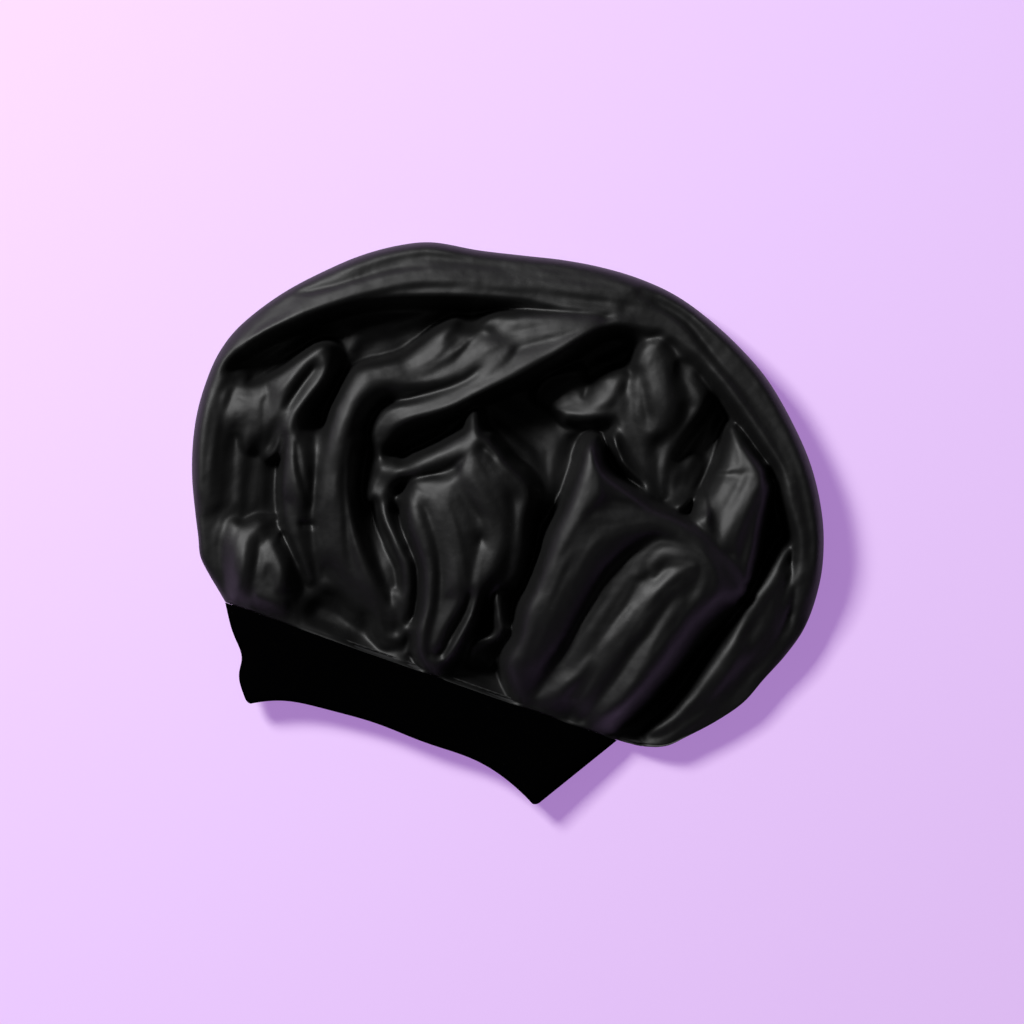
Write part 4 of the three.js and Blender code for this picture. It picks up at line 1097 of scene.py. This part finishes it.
group.links.new(maths(group, "MULTIPLY_ADD", crossing, CROSSING_SHARE, plain), wanted.inputs["Height"])
crossed_threads = group

# %% Slow patches of change
FINE_TIMES, FINE_SHARE = 7.0, 0.3
group, given, wanted = node_group("slow_patches", {"Patches": 30.0, "Contrast": 1.0}, ["Amount"])
wide = noise(group, given.outputs["Vector"], given.outputs["Patches"], 3.0, 0.55)
fine_scale = maths(group, "MULTIPLY", given.outputs["Patches"], FINE_TIMES)
fine = noise(group, given.outputs["Vector"], fine_scale, 2.0)
blend = maths(group, "MULTIPLY_ADD", fine, FINE_SHARE, maths(group, "MULTIPLY", wide, 1 - FINE_SHARE))
centred = maths(group, "MULTIPLY", maths(group, "SUBTRACT", blend, 0.5), given.outputs["Contrast"])
clamped = group.nodes.new("ShaderNodeClamp")
group.links.new(maths(group, "ADD", centred, 0.5), clamped.inputs[0])
group.links.new(clamped.outputs[0], wanted.inputs["Amount"])
slow_patches = group

# %% Lint
SPECK_SIZE, SPECK_LIMIT, FIELD_TIMES = 0.16, 0.72, 0.31
group, given, wanted = node_group("lint", {"Specks": 420.0, "Share": 0.05}, ["Mask"])
cells = group.nodes.new("ShaderNodeTexVoronoi")
group.links.new(given.outputs["Vector"], cells.inputs["Vector"])
group.links.new(given.outputs["Specks"], cells.inputs["Scale"])
field_scale = maths(group, "MULTIPLY", given.outputs["Specks"], FIELD_TIMES)
chosen = noise(group, given.outputs["Vector"], field_scale, 1.0)
core = maths(group, "LESS_THAN", cells.outputs["Distance"], SPECK_SIZE)
kept = maths(group, "GREATER_THAN", chosen, maths(group, "SUBTRACT", SPECK_LIMIT, given.outputs["Share"]))
group.links.new(maths(group, "MULTIPLY", core, kept), wanted.inputs["Mask"])
lint = group


# %% One finish from its parts
def place_group(tree, group, vector, **values):
    """The group in a material, with its values; gives its output socket."""
    node = tree.nodes.new("ShaderNodeGroup")
    node.node_tree = group
    tree.links.new(vector, node.inputs["Vector"])
    for label, value in values.items():
        node.inputs[label.replace("_", " ")].default_value = value
    return node.outputs[0]


def span(tree, amount, low, high):
    """Number or colour between two, by an amount from 0 to 1."""
    if isinstance(low, tuple):
        node = tree.nodes.new("ShaderNodeMix")
        node.data_type = "RGBA"
        node.inputs["A"].default_value, node.inputs["B"].default_value = (*low, 1), (*high, 1)
        tree.links.new(amount, node.inputs["Factor"])
        return node.outputs["Result"]
    node = tree.nodes.new("ShaderNodeMapRange")
    node.inputs["To Min"].default_value, node.inputs["To Max"].default_value = low, high
    tree.links.new(amount, node.inputs["Value"])
    return node.outputs["Result"]


def shade(tree, shader, socket, amount, low, high):
    """Feeds a socket of the shader with a value or colour that runs from low to high with the amount."""
    tree.links.new(span(tree, amount, low, high), shader.inputs[socket])


def finish_of(name, uses_run=False, specular=0.4, sheen=0.0, sheen_roughness=0.5):
    """New material with its shader, its node tree and the vector its patterns are read at."""
    material = bpy.data.materials.new(name)
    material.use_nodes = True
    tree = material.node_tree
    shader = tree.nodes["Principled BSDF"]
    shader.inputs["Specular IOR Level"].default_value = specular
    shader.inputs["Sheen Weight"].default_value = sheen
    shader.inputs["Sheen Roughness"].default_value = sheen_roughness
    where = tree.nodes.new("ShaderNodeTexCoord").outputs["UV" if uses_run else "Object"]
    return material, tree, shader, where


def bumped(tree, shader, *layers):
    """Bump nodes in a chain, each a height socket, a strength and a depth in metres."""
    normal = None
    for height, strength, depth in layers:
        node = tree.nodes.new("ShaderNodeBump")
        node.inputs["Strength"].default_value, node.inputs["Distance"].default_value = strength, depth
        tree.links.new(height, node.inputs["Height"])
        if normal:
            tree.links.new(normal, node.inputs["Normal"])
        normal = node.outputs["Normal"]
    tree.links.new(normal, shader.inputs["Normal"])


# %% Satin, face side out
satin, tree, shader, where = finish_of("black_satin", specular=0.42)
patches = place_group(tree, slow_patches, where, Patches=26.0, Contrast=1.5)
threads = place_group(tree, crossed_threads, where, Warp_Pitch=0.00065, Weft_Pitch=0.0011, Slant=0.35)
specks = place_group(tree, lint, where, Specks=380.0, Share=0.05)
shade(tree, shader, "Base Color", specks, (0.0009, 0.0009, 0.0010), (0.008, 0.008, 0.0085))
shade(tree, shader, "Roughness", patches, 0.50, 0.62)
bumped(tree, shader, (patches, 0.25, 0.0012), (threads, 0.22, 0.00005))

# %% Satin, reverse side, for the lining
lining_satin, tree, shader, where = finish_of("dull_satin_reverse", specular=0.18)
patches = place_group(tree, slow_patches, where, Patches=30.0, Contrast=1.4)
threads = place_group(tree, crossed_threads, where, Warp_Pitch=0.0006, Weft_Pitch=0.0006, Slant=-0.35)
shade(tree, shader, "Base Color", patches, (0.009, 0.009, 0.0095), (0.014, 0.014, 0.015))
shade(tree, shader, "Roughness", patches, 0.62, 0.74)
bumped(tree, shader, (threads, 0.3, 0.00008))

# %% Rib knit: columns of small V stitches, read along the strip
knit, tree, shader, run = finish_of("black_rib_knit", uses_run=True, specular=0.0)
parts = tree.nodes.new("ShaderNodeSeparateXYZ")
tree.links.new(run, parts.inputs[0])
WALE, COURSE, STITCH_LEAN, STITCH_SHARE = 0.0016, 0.0011, 1.3, 0.35
column = maths(tree, "PINGPONG", parts.outputs["X"], WALE / 2)
lean = maths(tree, "MULTIPLY_ADD", column, STITCH_LEAN, parts.outputs["Y"])
stitch = maths(tree, "SINE", maths(tree, "MULTIPLY", lean, 2 * math.pi / COURSE))
rib = maths(tree, "SINE", maths(tree, "MULTIPLY", column, 2 * math.pi / WALE))
loops_height = maths(tree, "MULTIPLY_ADD", stitch, STITCH_SHARE, rib)
patches = place_group(tree, slow_patches, run, Patches=60.0, Contrast=1.2)
specks = place_group(tree, lint, run, Specks=500.0, Share=0.04)
shade(tree, shader, "Base Color", specks, (0.0005, 0.0005, 0.0006), (0.004, 0.004, 0.0045))
shade(tree, shader, "Roughness", patches, 0.88, 0.98)
bumped(tree, shader, (patches, 0.2, 0.0006), (loops_height, 0.5, 0.00022))

# %% Elastic tape: raised rubber cords under a plain weave
elastic, tree, shader, run = finish_of("black_woven_elastic", uses_run=True, specular=0.3)
parts = tree.nodes.new("ShaderNodeSeparateXYZ")
tree.links.new(run, parts.inputs[0])
CORD_PITCH = 0.0016
cords = maths(tree, "SINE", maths(tree, "MULTIPLY", parts.outputs["Y"], 2 * math.pi / CORD_PITCH))
threads = place_group(tree, crossed_threads, run, Warp_Pitch=0.0009, Weft_Pitch=0.0008, Slant=0.0)
patches = place_group(tree, slow_patches, run, Patches=40.0, Contrast=1.2)
shade(tree, shader, "Base Color", patches, (0.008, 0.008, 0.009), (0.016, 0.016, 0.017))
shade(tree, shader, "Roughness", patches, 0.66, 0.82)
bumped(tree, shader, (cords, 0.5, 0.0003), (threads, 0.4, 0.00012))

# %% Spun thread
thread, tree, shader, where = finish_of("black_spun_thread", specular=0.3, sheen=0.05)
twist = place_group(tree, crossed_threads, where, Warp_Pitch=0.0003, Weft_Pitch=0.0009, Slant=1.0)
patches = place_group(tree, slow_patches, where, Patches=200.0, Contrast=1.5)
shade(tree, shader, "Base Color", patches, (0.003, 0.003, 0.0032), (0.009, 0.009, 0.0095))
shade(tree, shader, "Roughness", patches, 0.60, 0.80)
bumped(tree, shader, (twist, 0.5, 0.00008))

# %% Put the finishes on
for piece, material in ((crown, satin), (lining, lining_satin), (band, knit), (tape, elastic),
                        (overlock, thread), (gather, thread), (back_seam, thread)):
    piece.data.materials.append(material)
    print(piece.name, "wears", material.name)
